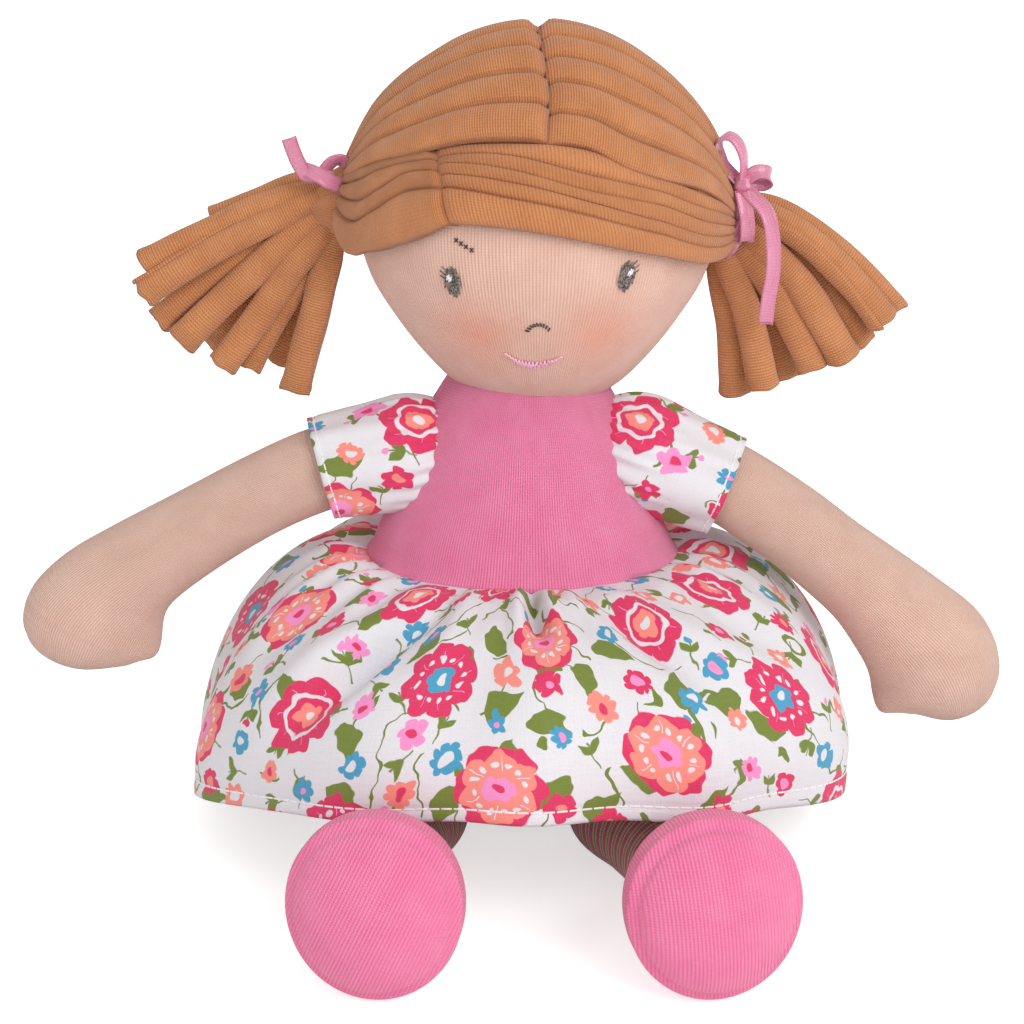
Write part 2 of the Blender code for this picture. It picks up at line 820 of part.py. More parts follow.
def build_pigtail(side, jersey):
    """A bunch of jersey strands from one tied root."""
    name = side_names[side]
    root = tie_point(side, tie_out)
    strands = bpy.data.collections.new("strands_" + name)
    cutters.children.link(strands)
    for count in range(strand_count):
        share = count / (strand_count - 1)
        angle = strand_top_angles[side] + (strand_low_angles[side] - strand_top_angles[side]) * share
        layer = (count % 2 - 0.5) * strand_layers
        longer = strand_low_lengths[side] - strand_top_lengths[side]
        reach = strand_top_lengths[side] + longer * share
        reach *= 1 - strand_uneven_share * math.sin(count * strand_uneven_turn) ** 2
        bend = strand_bend_share * angle
        middle = root + Vector((side * math.cos(bend), 0, math.sin(bend))) * reach * 0.5
        tip = root + Vector((side * math.cos(angle), 0, math.sin(angle))) * reach
        middle += y_axis * layer
        tip += y_axis * layer * strand_spread_share
        points = []
        for step in range(strand_steps + 1):
            t = step / strand_steps
            points.append(root.lerp(middle, t).lerp(middle.lerp(tip, t), t))
        mesh = tube_mesh("strand", points, strand_width / 2)
        strand = bpy.data.objects.new("strand_%s_%d" % (name, count), mesh)
        strand.hide_render = True
        strand.display_type = "WIRE"
        strands.objects.link(strand)
    bunch = ball_mesh("root", root, tie_ball / 2, 14, 10)
    join(add_part("pigtail_" + name, bunch, jersey, root), strands)


def ribbon_mesh(name, points, wide_axis):
    """A flat ribbon along points, with its width along an axis."""

    def place(u, v):
        spot = points[round(v * (len(points) - 1))]
        return spot + wide_axis * (u - 0.5) * ribbon_width

    return grid_mesh(name, 1, len(points) - 1, place, points[0])


def build_ribbon(side, satin):
    """The band round the bunch, and the bow on it."""
    name = side_names[side]
    pivot = body_point(neck_up)
    outward = tie_direction(side)
    centre = tie_point(side, band_out)
    front = outward.cross(z_axis).normalized() * -side
    high = front.cross(outward).normalized() * -side

    def place(u, v):
        turn, round_turn = u * math.tau, v * math.tau
        spoke = front * math.cos(turn) + high * math.sin(turn)
        tube = band_radius + band_thickness / 2 * math.cos(round_turn)
        return centre + spoke * tube + outward * band_thickness / 2 * math.sin(round_turn)

    bm = bmesh.new()
    bm.from_mesh(grid_mesh("band", 20, 5, place, centre))
    bmesh.ops.remove_doubles(bm, verts=bm.verts, dist=band_thickness / 100)
    add_part("ribbon_band_" + name, finish_mesh(bm, "band"), satin, pivot.copy())
    knot_middle = centre - y_axis * (band_radius + band_thickness / 2 + knot_size / 2 + sewn_gap)
    knot_middle += z_axis * knot_lifts[side]
    knot = add_part("bow_" + name, ball_mesh("knot", knot_middle, knot_size / 2, 10, 8), satin, pivot.copy())
    strips = bpy.data.collections.new("bow_strips_" + name)
    cutters.children.link(strips)
    for label, shares in bow_shares[side].items():
        points = smooth_path([knot_middle + Vector(share) * bow_size for share in shares], 3)
        run = (points[-1] - points[0]).normalized()
        wide_axis = run.cross(y_axis).normalized() if label == "tail" else y_axis
        strip = bpy.data.objects.new(label + "_" + name, ribbon_mesh(label, points, wide_axis))
        strip.hide_render = True
        strip.display_type = "WIRE"
        strips.objects.link(strip)
        thicken(strip, ribbon_cloth, 0)
    join(knot, strips)


def build_eye(surface, side, thread):
    """An oval of stitches lying on the face."""
    middle = face_direction(side * eye_azimuth, eye_elevation)
    centre = on_head(surface, middle, 0)
    out = middle
    across = body_up.cross(out).normalized()
    high = out.cross(across)
    bm = bmesh.new()
    bmesh.ops.create_circle(bm, cap_ends=True, segments=12, radius=1)
    for vert in bm.verts:
        spot = centre + across * vert.co.x * eye_width / 2 + high * vert.co.y * eye_height / 2
        direction = (spot - head_centre()).normalized()
        vert.co = on_head(surface, direction, stitch_gap)
    for face in bm.faces:
        face.normal_update()
        if face.normal.dot(out) < 0:
            face.normal_flip()
    mesh = bpy.data.meshes.new("eye")
    bm.to_mesh(mesh)
    bm.free()
    eye = add_part("eye_" + side_names[side], mesh, thread, body_point(neck_up))
    thicken(eye, stitch_height, 1)


def build_stitch(surface, name, angles, width, thread):
    lift = width / 2 + sewn_gap
    places = [on_head(surface, face_direction(*pair), lift) for pair in angles]
    add_part(name, tube_mesh(name, smooth_path(places, 2), width / 2), thread, body_point(neck_up))


clear_scene()
doll = new_collection("rag_doll")
cutters = new_collection("cutters")
knit_pink = material("pink_jersey", pink)
printed_cotton = material("printed_cotton", print_white)
plain_cotton = material("plain_cotton", cotton)
skin_jersey = material("skin_jersey", skin)
striped_jersey = material("striped_jersey", stripe_pink)
hair_jersey = material("hair_jersey", hair_brown)
ribbon_satin = material("ribbon_satin", ribbon_pink, 0.4)
dark_thread = material("dark_thread", thread_grey, 0.6)
pink_thread = material("pink_thread", lip_pink, 0.6)

body_surface = build_body(knit_pink, plain_cotton)
build_skirt(body_surface, printed_cotton)
for doll_side in sides:
    build_leg(doll_side, striped_jersey, knit_pink)
    build_arm(doll_side, skin_jersey, printed_cotton)
head_surface = build_head(skin_jersey)
build_hair(head_surface, hair_jersey)
for doll_side in sides:
    build_pigtail(doll_side, hair_jersey)
    build_ribbon(doll_side, ribbon_satin)
    build_eye(head_surface, doll_side, dark_thread)
build_stitch(head_surface, "brow", brow_angles, brow_thread, dark_thread)
build_stitch(head_surface, "nose", nose_angles, nose_thread, dark_thread)
build_stitch(head_surface, "mouth", mouth_angles, mouth_thread, pink_thread)
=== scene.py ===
# %% [markdown]
# # A seated rag doll
#
# The doll is sewn from knitted jersey and printed cotton and stuffed with fibre. The packed
# model gives every piece its place, its size and the body that it moves with. This lesson
# dresses that model: soft skins with a knit surface, a gathered skirt, hair made of jersey
# strips, satin ribbons and an embroidered face. Lengths are in metres, so mm is 0.001.

# %% Load the frame
import math

import bmesh
import bpy
from mathutils import Matrix, Vector, noise
from mathutils.bvhtree import BVHTree


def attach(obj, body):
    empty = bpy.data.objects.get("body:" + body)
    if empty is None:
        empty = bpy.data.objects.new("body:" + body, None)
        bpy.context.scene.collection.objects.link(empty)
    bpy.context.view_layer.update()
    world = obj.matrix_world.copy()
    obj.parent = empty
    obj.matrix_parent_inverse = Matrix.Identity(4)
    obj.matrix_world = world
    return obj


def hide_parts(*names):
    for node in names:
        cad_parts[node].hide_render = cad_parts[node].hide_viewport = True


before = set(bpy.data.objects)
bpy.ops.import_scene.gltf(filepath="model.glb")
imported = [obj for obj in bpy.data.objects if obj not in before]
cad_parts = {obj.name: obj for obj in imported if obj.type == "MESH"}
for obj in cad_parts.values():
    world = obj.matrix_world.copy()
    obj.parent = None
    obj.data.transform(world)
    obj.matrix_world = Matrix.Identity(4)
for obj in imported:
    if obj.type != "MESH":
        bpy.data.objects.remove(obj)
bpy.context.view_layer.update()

mm = 0.001

# %% [markdown]
# The doll leans back by 12 degrees. Two directions follow from that: up along the body and
# straight out of its back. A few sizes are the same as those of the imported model, because
# each skin has to sit where its solid is.

# %% Directions and shared sizes
x_axis = Vector((1, 0, 0))
y_axis = Vector((0, 1, 0))
z_axis = Vector((0, 0, 1))
body_lean = math.radians(12)
body_drift = math.radians(1)
body_up = Vector((0, math.sin(body_lean), math.cos(body_lean)))
body_back = Vector((0, math.cos(body_lean), -math.sin(body_lean)))
sides = {"left": -1, "right": 1}
neck_up = 97.5 * mm


def body_point(up):
    """A point on the body's middle line, a distance up from the floor."""
    return body_up * up + x_axis * up * math.tan(body_drift)


print("neck at", [round(value, 4) for value in body_point(neck_up)])

# %% [markdown]
# The photograph was taken with a long lens from a little above the doll, straight in front.
# The camera's distance and lens give that view: 0.22 mm of doll to each of 1024 pixels.

# %% The camera
picture_pixels = 1024
pixel_size = 0.22 * mm
camera_distance = 650 * mm
camera_elevation = math.radians(25)
camera_target = Vector((-1.3 * mm, 14.3 * mm, 67.4 * mm))
sensor_width = 36


def add_camera():
    """A camera that looks along +Y and down, aimed at the middle of the picture."""
    camera = bpy.data.objects.new("camera", bpy.data.cameras.new("camera"))
    bpy.context.scene.collection.objects.link(camera)
    away = Vector((0, -math.cos(camera_elevation), math.sin(camera_elevation)))
    camera.location = camera_target + away * camera_distance
    camera.rotation_euler = (math.pi / 2 - camera_elevation, 0, 0)
    camera.data.sensor_width = sensor_width
    camera.data.lens = sensor_width * camera_distance / (picture_pixels * pixel_size)
    bpy.context.scene.camera = camera
    return camera


print("lens, mm:", round(add_camera().data.lens, 1))

# %% [markdown]
# A material is a graph of nodes, and most of the graph here is arithmetic on the cloth's own
# coordinates. Every skin gets a UV map named cloth, measured in millimetres of fabric. A
# small class stands for a number that nodes work out, and plain arithmetic with it makes
# the Math nodes, so that a pattern reads like a formula.

# %% Formulas of nodes
class Formula:
    """A number or a colour that nodes work out at each point of a surface."""

    def __init__(self, socket):
        self.socket = socket
        self.tree = socket.id_data

    def __add__(self, other):
        return calc("ADD", self, other)

    def __sub__(self, other):
        return calc("SUBTRACT", self, other)

    def __rsub__(self, other):
        return calc("SUBTRACT", other, self)

    def __mul__(self, other):
        return calc("MULTIPLY", self, other)

    def __truediv__(self, other):
        return calc("DIVIDE", self, other)

    def __abs__(self):
        return calc("ABSOLUTE", self)

    def __gt__(self, other):
        return calc("GREATER_THAN", self, other)

    def __lt__(self, other):
        return calc("LESS_THAN", self, other)


def feed(socket, value):
    """Join a socket to a formula, or give it a plain value."""
    if isinstance(value, Formula):
        value.tree.links.new(value.socket, socket)
    else:
        socket.default_value = value


def calc(operation, *values):
    """One Math node, by the name of its operation."""
    tree = next(value.tree for value in values if isinstance(value, Formula))
    node = tree.nodes.new("ShaderNodeMath")
    node.operation = operation
    for socket, value in zip(node.inputs, values):
        feed(socket, value)
    return Formula(node.outputs[0])


def limited(value):
    """A formula kept between 0 and 1."""
    return calc("MAXIMUM", calc("MINIMUM", value, 1), 0)


print("formulas are ready")

# %% Colours, noise and materials
default_specular = 0.25
sheen_roughness = 0.5


def srgb(red, green, blue):
    """A colour as seen in a picture, from 0 to 255, for a shader."""
    values = []
    for value in (red / 255, green / 255, blue / 255):
        values.append(value / 12.92 if value <= 0.04045 else ((value + 0.055) / 1.055) ** 2.4)
    return (*values, 1)


def mix_colour(share, first, second):
    """The first colour where the share is 0, the second where it is 1."""
    node = share.tree.nodes.new("ShaderNodeMix")
    node.data_type = "RGBA"
    for socket, value in zip((node.inputs[0], node.inputs[6], node.inputs[7]), (share, first, second)):
        feed(socket, value)
    return Formula(node.outputs[2])


def cloth_place(tree):
    """The place on the cloth, in millimetres, as two formulas."""
    uv = tree.nodes.new("ShaderNodeUVMap")
    uv.uv_map = "cloth"
    split = tree.nodes.new("ShaderNodeSeparateXYZ")
    tree.links.new(uv.outputs[0], split.inputs[0])
    return Formula(split.outputs[0]), Formula(split.outputs[1])


def speckle(across, along, detail=2.0):
    """Smooth noise over two coordinates, from 0 to 1."""
    join = across.tree.nodes.new("ShaderNodeCombineXYZ")
    feed(join.inputs[0], across)
    feed(join.inputs[1], along)
    texture = across.tree.nodes.new("ShaderNodeTexNoise")
    texture.noise_dimensions = "2D"
    texture.inputs["Scale"].default_value = 1
    texture.inputs["Detail"].default_value = detail
    feed(texture.inputs["Vector"], Formula(join.outputs[0]))
    return Formula(texture.outputs[0])


def new_material(name, roughness, sheen):
    made = bpy.data.materials.new(name)
    made.use_nodes = True
    shader = made.node_tree.nodes["Principled BSDF"]
    shader.inputs["Roughness"].default_value = roughness
    shader.inputs["Specular IOR Level"].default_value = default_specular
    shader.inputs["Sheen Weight"].default_value = sheen
    shader.inputs["Sheen Roughness"].default_value = sheen_roughness
    return made, made.node_tree, shader


def dress(shader, colour, height, depth):
    """Colour a shader, and raise it by depth millimetres where height is 1."""
    bump = height.tree.nodes.new("ShaderNodeBump")
    bump.inputs["Strength"].default_value = 1
    bump.inputs["Distance"].default_value = depth * mm
    feed(bump.inputs["Height"], height)
    feed(shader.inputs["Base Color"], colour)
    feed(shader.inputs["Normal"], Formula(bump.outputs[0]))


print("material helpers are ready")

# %% [markdown]
# The doll sits alone on white paper. A wide white floor keeps its soft shadow. Through
# Light Path the camera sees the floor a little brighter than it is, and the world as pure
# white, while the doll is lit by a plain, weaker white world and by two large soft lamps:
# the stronger one is high on the right, as in the photograph.

# %% Floor, world and lamps
floor_size = 6
white = (1, 1, 1, 1)
floor_colour = (0.96, 0.96, 0.96, 1)
floor_glow = 0.6
world_light = 0.64
key_power = 9.9
key_size = 0.8
key_place = Vector((0.75, -0.85, 0.95))
fill_power = 1.9
fill_size = 0.8
fill_place = Vector((-0.7, -1.0, 0.6))


def seen_directly(tree):
    """1 for what the camera sees, also in a mirror or through glass, and 0 for light."""
    path = tree.nodes.new("ShaderNodeLightPath").outputs
    camera_or_mirror = calc("MAXIMUM", Formula(path["Is Camera Ray"]), Formula(path["Is Glossy Ray"]))
    return calc("MAXIMUM", camera_or_mirror, Formula(path["Is Transmission Ray"]))


def add_floor():
    bm = bmesh.new()
    bmesh.ops.create_grid(bm, x_segments=1, y_segments=1, size=floor_size / 2)
    mesh = bpy.data.meshes.new("floor")
    bm.to_mesh(mesh)
    bm.free()
    floor = bpy.data.objects.new("floor", mesh)
    bpy.context.scene.collection.objects.link(floor)
    paper, tree, shader = new_material("white_paper", 1, 0)
    shader.inputs["Base Color"].default_value = floor_colour
    shader.inputs["Specular IOR Level"].default_value = 0
    shader.inputs["Emission Color"].default_value = white
    feed(shader.inputs["Emission Strength"], seen_directly(tree) * floor_glow)
    mesh.materials.append(paper)
    return floor


def light_world():
    world = bpy.data.worlds.new("white_room")
    bpy.context.scene.world = world
    world.use_nodes = True
    tree = world.node_tree
    background = tree.nodes["Background"]
    background.inputs["Color"].default_value = white
    feed(background.inputs["Strength"], seen_directly(tree) * (1 - world_light) + world_light)


def add_lamp(name, power, size, place):
    lamp = bpy.data.lights.new(name, "AREA")
    lamp.energy = power
    lamp.size = size
    item = bpy.data.objects.new(name, lamp)
    item.location = place
    item.rotation_euler = (camera_target - place).to_track_quat("-Z", "Y").to_euler()
    bpy.context.scene.collection.objects.link(item)


add_floor()
light_world()
add_lamp("key_lamp", key_power, key_size, key_place)
add_lamp("fill_lamp", fill_power, fill_size, fill_place)
bpy.context.scene.view_settings.view_transform = "Standard"
print("lamps:", key_power, fill_power, "W")

# %% [markdown]
# Jersey is a weft knit. Its face shows columns of small V stitches, the wales, and each row
# of them is a course. The height formula raises every wale into a rib and lets the two legs
# of each V climb along it. The grooves between wales are darker, because less light gets in.

# %% Jersey
jersey_roughness = 0.85
jersey_sheen = 0.25
loop_share = 0.45
patch_scale = 0.12
fibre_scale = 1.7
hair_strip = 8
# Painted shade in the grooves between hair strips: where it starts, how fast it darkens, and its
# colour.
groove_start = 0.4
groove_shade = 3.6
groove_shade_colour = srgb(104, 56, 30)


def knit_height(across, along, wale, course):
    """The height of a plain knit, from 0 in the grooves to 1 on the stitches."""
    column = across / wale
    rib = abs(calc("SINE", column * math.pi))
    row = along / course + calc("PINGPONG", column, 0.5)
    loop = calc("SINE", row * math.tau) * 0.5 + 0.5
    return rib * (loop * loop_share + (1 - loop_share))


def jersey_colour(height, across, along, light, dark):
    """Painted shade lightens the stitches and darkens the grooves, over a faint unevenness in the dye.
    """
    patches = speckle(across * patch_scale, along * patch_scale)
    fibres = speckle(across * fibre_scale, along * fibre_scale)
    # Painted shade: the share of the light colour grows with the knit's height.
    share = patches * 0.5 + height * 0.55
    share = fibres * 0.35 + (share - 0.22)
    return mix_colour(limited(share), dark, light)


def jersey(name, light, dark, wale, course, depth, strip=0):
    """A plain knit. Cut into strips, it has painted shade in the grooves between them."""
    made, tree, shader = new_material(name, jersey_roughness, jersey_sheen)
    across, along = cloth_place(tree)
    height = knit_height(across, along, wale, course)
    colour = jersey_colour(height, across, along, light, dark)
    if strip:
        # Painted shade: the colour darkens near each strip's edges, where the grooves between strips
        # lie.
        from_middle = abs(calc("FRACT", along / strip) - 0.5)
        groove = calc("MAXIMUM", from_middle - groove_start, 0) * groove_shade
        colour = mix_colour(groove, colour, groove_shade_colour)
    dress(shader, colour, height, depth)
    return made


pink_jersey = jersey("pink_jersey", srgb(255, 155, 195), srgb(237, 105, 152), 0.72, 0.62, 0.27)
foot_jersey = jersey("foot_jersey", srgb(255, 150, 188), srgb(236, 102, 152), 0.76, 0.6, 0.24)
arm_jersey = jersey("arm_jersey", srgb(246, 209, 191), srgb(215, 169, 149), 0.62, 0.55, 0.22)
hair_colours = (srgb(228, 156, 104), srgb(174, 104, 58))
hair_jersey = jersey("hair_jersey", *hair_colours, 0.62, 0.6, 0.22, hair_strip)
strand_jersey = jersey("strand_jersey", srgb(232, 161, 108), srgb(178, 108, 62), 0.6, 0.6, 0.24)
print("jerseys:", pink_jersey.name, arm_jersey.name, hair_jersey.name)

# %% [markdown]
# Stuffed pieces are round in section and swell and taper along a line. One helper makes them
# all: it starts from a UV sphere and moves each of its rings onto a section, which is a
# centre, half a width and half a depth. The sections are blended by their squares, and a
# square falls evenly to zero at a round end, so the ends come out round without more work.

# %% Stuffed forms
def spline(values, place):
    """A smooth curve through numbers or vectors, read at a place from 0 to the last."""
    last = len(values) - 1
    start = max(0, min(int(place), last - 1))
    t = place - start
    b, c = values[start], values[start + 1]
    a = values[start - 1] if start > 0 else b * 2 - c
    d = values[start + 2] if start + 2 <= last else c * 2 - b
    bend = (a * 2 - b * 5 + c * 4 - d) * t**2
    twist = (b * 3 - a - c * 3 + d) * t**3
    return (b * 2 + (c - a) * t + bend + twist) / 2


def section_frame(centres, place, deep_axis):
    """Directions across and deep at a place on a path."""
    near = 0.02
    along = spline(centres, place + near) - spline(centres, place - near)
    across = along.cross(deep_axis).normalized()
    return across, across.cross(along.normalized())


def even_turns(turns):
    """The turns of one face's corners, without a jump where a full turn begins."""
    known = [turn for turn in turns if turn is not None]
    if max(known) - min(known) > math.pi:
        known = [turn + math.tau if turn < 0 else turn for turn in known]
        turns = [turn + math.tau if turn is not None and turn < 0 else turn for turn in turns]
    middle = sum(known) / len(known)
    return [middle if turn is None else turn for turn in turns]


def stuffed(sections, deep_axis, around, along, shift=0.0):
    """A stuffed form through its sections, whose first and last are its tips."""
    centres = [section[0] for section in sections]
    wides = [section[1] ** 2 for section in sections]
    deeps = [section[2] ** 2 for section in sections]
    girth = math.tau * max(math.sqrt(max(wides)), math.sqrt(max(deeps))) / mm
    bm = bmesh.new()
    bmesh.ops.create_uvsphere(bm, u_segments=around, v_segments=along, radius=1)
    turns, levels = {}, {}
    lengths = [0.0]
    before = sections[0][0]
    for vert in bm.verts:
        level = round(math.acos(max(-1, min(1, vert.co.z))) / math.pi * along)
        levels[vert.index] = level
        turns[vert.index] = None if level in (0, along) else math.atan2(vert.co.y, vert.co.x)
    for level in range(along + 1):
        place = (len(sections) - 1) * (1 - math.cos(math.pi * level / along)) / 2
        across, deep = section_frame(centres, place, deep_axis)
        wide = math.sqrt(max(0, spline(wides, place)))
        thick = math.sqrt(max(0, spline(deeps, place)))
        centre = spline(centres, place)
        rim = centre + across * wide
        lengths.append(lengths[-1] + (rim - before).length / mm)
        before = rim
        for vert in bm.verts:
            if levels[vert.index] == level:
                turn = turns[vert.index] or 0
                vert.co = centre + across * wide * math.cos(turn) + deep * thick * math.sin(turn)
    cloth = bm.loops.layers.uv.new("cloth")
    for face in bm.faces:
        spread = even_turns([turns[loop.vert.index] for loop in face.loops])
        for loop, turn in zip(face.loops, spread):
            u = turn / math.tau * girth + shift
            loop[cloth].uv = (u, lengths[levels[loop.vert.index] + 1] + shift)
    bmesh.ops.recalc_face_normals(bm, faces=bm.faces)
    return bm


def surface_of(bm):
    return BVHTree.FromBMesh(bm)


def piece(name, bm, material, body, nodes=()):
    """Make a finished mesh a piece that moves with a body and stands for some nodes."""
    mesh = bpy.data.meshes.new(name)
    bm.to_mesh(mesh)
    bm.free()
    mesh.materials.append(material)
    mesh.shade_smooth()
    made = bpy.data.objects.new(name, mesh)
    bpy.context.scene.collection.objects.link(made)
    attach(made, body)
    if nodes:
        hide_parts(*nodes)
    print(name, len(mesh.polygons), "faces")
    return made


def smooth_step(value, low, high):
    """0 below low, 1 above high, and smooth in between."""
    share = max(0.0, min(1.0, (value - low) / (high - low)))
    return share * share * (3 - 2 * share)


# %% [markdown]
# The body is one stuffed bag in a sewing pattern's terms: pink jersey above the waist seam
# and plain cotton below it, under the skirt. The bag is made once and cut by the seam's
# plane with bisect, and the open side is filled.

# %% The bodice and the seat
body_length = 104 * mm
body_width = 74 * mm
body_depth = 54 * mm
body_shares = (
    (-0.015, 0.00, 0.00),
    (0.03, 0.62, 0.64),
    (0.12, 0.92, 0.94),
    (0.30, 1.00, 1.00),
    (0.47, 0.97, 0.97),
    (0.60, 0.89, 0.90),
    (0.71, 0.76, 0.84),
    (0.83, 0.66, 0.76),
    (0.91, 0.54, 0.64),
    (0.98, 0.40, 0.46),
    (1.02, 0.00, 0.00),
)
waist_up = 61 * mm
waist_tilt = math.radians(5)
hem_lip = 0.8 * mm
flare_height = 3 * mm
flare_out = 1.3 * mm
hip_radius = 12.1 * mm
hip_forward = 16 * mm


def body_form():
    sections = [
        (body_point(up * body_length), wide * body_width / 2, deep * body_depth / 2)
        for up, wide, deep in body_shares
    ]
    return stuffed(sections, body_back, 96, 96)


def cut_flat(bm, point, outward):
    """Cut away what lies past a plane, and fill the cut."""
    everything = bm.verts[:] + bm.edges[:] + bm.faces[:]
    plane = {"plane_co": point, "plane_no": outward}
    cut = bmesh.ops.bisect_plane(bm, geom=everything, clear_outer=True, **plane)
    rim = [item for item in cut["geom_cut"] if isinstance(item, bmesh.types.BMEdge)]
    bmesh.ops.edgeloop_fill(bm, edges=rim)


def press_to_floor(bm, low=0.0):
    """What rests on the floor goes flat there."""
    for vert in bm.verts:
        vert.co.z = max(vert.co.z, low)


seam_up = Vector((0, math.sin(waist_tilt), math.cos(waist_tilt)))
bodice_form = body_form()
body_surface = surface_of(bodice_form)
cut_flat(bodice_form, body_point(waist_up) - seam_up * hem_lip, -seam_up)
for vert in bodice_form.verts:
    above = (vert.co - body_point(waist_up)).dot(seam_up) + hem_lip
    if above < flare_height:
        spoke = vert.co - body_point(waist_up)
        spoke -= seam_up * spoke.dot(seam_up)
        vert.co += spoke.normalized() * flare_out * (1 - above / flare_height) ** 2
bodice = piece("bodice", bodice_form, pink_jersey, "torso", ["torso"])

# %% The seat, in plain cotton
plain_thread = 0.6


def plain_cotton():
    made, tree, shader = new_material("plain_cotton", 0.8, 0.1)
    across, along = cloth_place(tree)
    warp = calc("SINE", across * (math.tau / plain_thread))
    weft = calc("SINE", along * (math.tau / plain_thread))
    weave = warp * weft * 0.5 + 0.5
    # Painted shade: the cloth is darker where the weave is low and lighter on its raised threads.
    colour = mix_colour(weave, srgb(222, 214, 204), srgb(244, 240, 232))
    dress(shader, colour, weave, 0.1)
    return made


seat_form = body_form()
cut_flat(seat_form, body_point(waist_up) - seam_up * hem_lip, seam_up)
for seat_vert in seat_form.verts:
    in_front = Vector((0, seat_vert.co.y + hip_forward, seat_vert.co.z - hip_radius))
    if in_front.length < hip_radius and seat_vert.co.y < 0:
        seat_vert.co.y = math.sqrt(hip_radius**2 - in_front.z**2) - hip_forward
press_to_floor(seat_form)
seat = piece("seat_bag", seat_form, plain_cotton(), "torso", ["seat"])

# %% [markdown]
# The head is a ball that narrows towards the chin. Jersey is knitted as a tube, so its
# wales run up the face like the lines of a globe. The blush is colour that was rubbed into
# the cloth: two soft spots, found by their distance from a point on each cheek.

# %% The head
head_width = 77 * mm
head_depth = 70 * mm
head_height = 79 * mm
head_shift = 2.5 * mm
neck_sink = 4.5 * mm
crown_share = 0.035
chin_share = 0.115
head_rings = 12
head_middle = body_point(neck_up) + body_up * (head_height / 2 - neck_sink) + x_axis * head_shift


def head_form():
    sections = []
    for step in range(head_rings + 1):
        turn = step / head_rings * math.pi
        if turn < math.pi / 2:
            wide = math.sin(turn) * (1 - chin_share * math.sin(2 * turn) ** 2)
        else:
            wide = math.sin(turn) * (1 + crown_share * math.sin(turn) * math.cos(turn))
        centre = head_middle - body_up * math.cos(turn) * head_height / 2
        sections.append((centre, wide * head_width / 2, wide * head_depth / 2))
    return stuffed(sections, body_back, 128, 96)


def face_direction(azimuth, elevation):
    """A direction from the head's middle, in degrees: azimuth 0 is the nose."""
    azimuth, elevation = math.radians(azimuth), math.radians(elevation)
    level = x_axis * math.sin(azimuth) - body_back * math.cos(azimuth)
    return level * math.cos(elevation) + body_up * math.sin(elevation)


def on_head(direction, lift):
    """The point a lift above the head's skin in a direction from its middle."""
    return head_surface.ray_cast(head_middle, direction)[0] + direction * lift


head_skin = head_form()
head_surface = surface_of(head_skin)

# %% The face's jersey, with its blush
blush_places = ((-27.0, -35.0), (27.5, -35.5))
blush_reach = 15 * mm
blush_fall = 1.5
blush_strength = 0.62
blush_colour = srgb(240, 150, 122)


def soft_spot(place, middle, reach):
    """1 at a point, falling evenly to 0 at a reach from it."""
    away = place.tree.nodes.new("ShaderNodeVectorMath")
    away.operation = "DISTANCE"
    feed(away.inputs[0], place)
    away.inputs[1].default_value = middle
    return calc("MAXIMUM", 1 - Formula(away.outputs["Value"]) / reach, 0)


def face_jersey():
    made, tree, shader = new_material("face_jersey", jersey_roughness, jersey_sheen)
    across, along = cloth_place(tree)
    height = knit_height(across, along, 0.76, 0.6)
    colour = jersey_colour(height, across, along, srgb(244, 207, 190), srgb(220, 171, 151))
    place = Formula(tree.nodes.new("ShaderNodeTexCoord").outputs["Object"])
    for azimuth, elevation in blush_places:
        cheek = on_head(face_direction(azimuth, elevation), 0)
        near = soft_spot(place, cheek, blush_reach)
        share = calc("POWER", near, blush_fall) * blush_strength
        colour = mix_colour(share, colour, blush_colour)
    dress(shader, colour, height, 0.2)
    return made


head = piece("head_skin", head_skin, face_jersey(), "head", ["head"])

# %% [markdown]
# Each arm is a sausage that widens into a mitten. The sections follow the arm's bend, and
# the thumb is a soft corner pulled out of the mitten's lower inside edge.

# %% The arms
shoulder_up = 83 * mm
shoulder_side = 26.8 * mm
shoulder_forward = 2.5 * mm
arm_width = 18.5 * mm
arm_depth = 18 * mm
arm_reach = 100 * mm
arm_forward_share = 0.13
arm_shares = {
    "left": (
        (-0.085, 0.000, 0.00, 0.00),
        (-0.001, 0.000, 0.98, 0.98),
        (0.090, -0.008, 0.99, 0.99),
        (0.190, -0.030, 0.99, 1.00),
        (0.310, -0.081, 0.97, 1.00),
        (0.447, -0.156, 1.02, 1.04),
        (0.570, -0.232, 1.16, 1.08),
        (0.650, -0.298, 1.38, 1.08),
        (0.698, -0.360, 1.50, 1.02),
        (0.722, -0.420, 1.26, 0.84),
        (0.736, -0.470, 0.00, 0.00),
    ),
    "right": (
        (-0.085, 0.000, 0.00, 0.00),
        (-0.001, 0.000, 0.98, 0.98),
        (0.090, -0.022, 0.98, 0.99),
        (0.190, -0.068, 0.98, 1.00),
        (0.312, -0.149, 1.00, 1.02),
        (0.408, -0.224, 1.02, 1.04),
        (0.492, -0.292, 1.12, 1.08),
        (0.566, -0.366, 1.33, 1.08),
        (0.628, -0.438, 1.52, 1.04),
        (0.666, -0.506, 1.42, 0.92),
        (0.684, -0.554, 1.08, 0.72),
        (0.694, -0.606, 0.00, 0.00),
    ),
}
thumb_shares = {"left": (0.578, -0.400), "right": (0.532, -0.580)}
thumb_pull = 4.6 * mm
thumb_spread = 5.8 * mm


def shoulder_point(side):
    return body_point(shoulder_up) + x_axis * sides[side] * shoulder_side - y_axis * shoulder_forward


def arm_point(side, out_share, up_share):
    forward = arm_forward_share * out_share * arm_reach
    out = Vector((sides[side] * out_share, 0, up_share)) * arm_reach
    return shoulder_point(side) + out - y_axis * forward


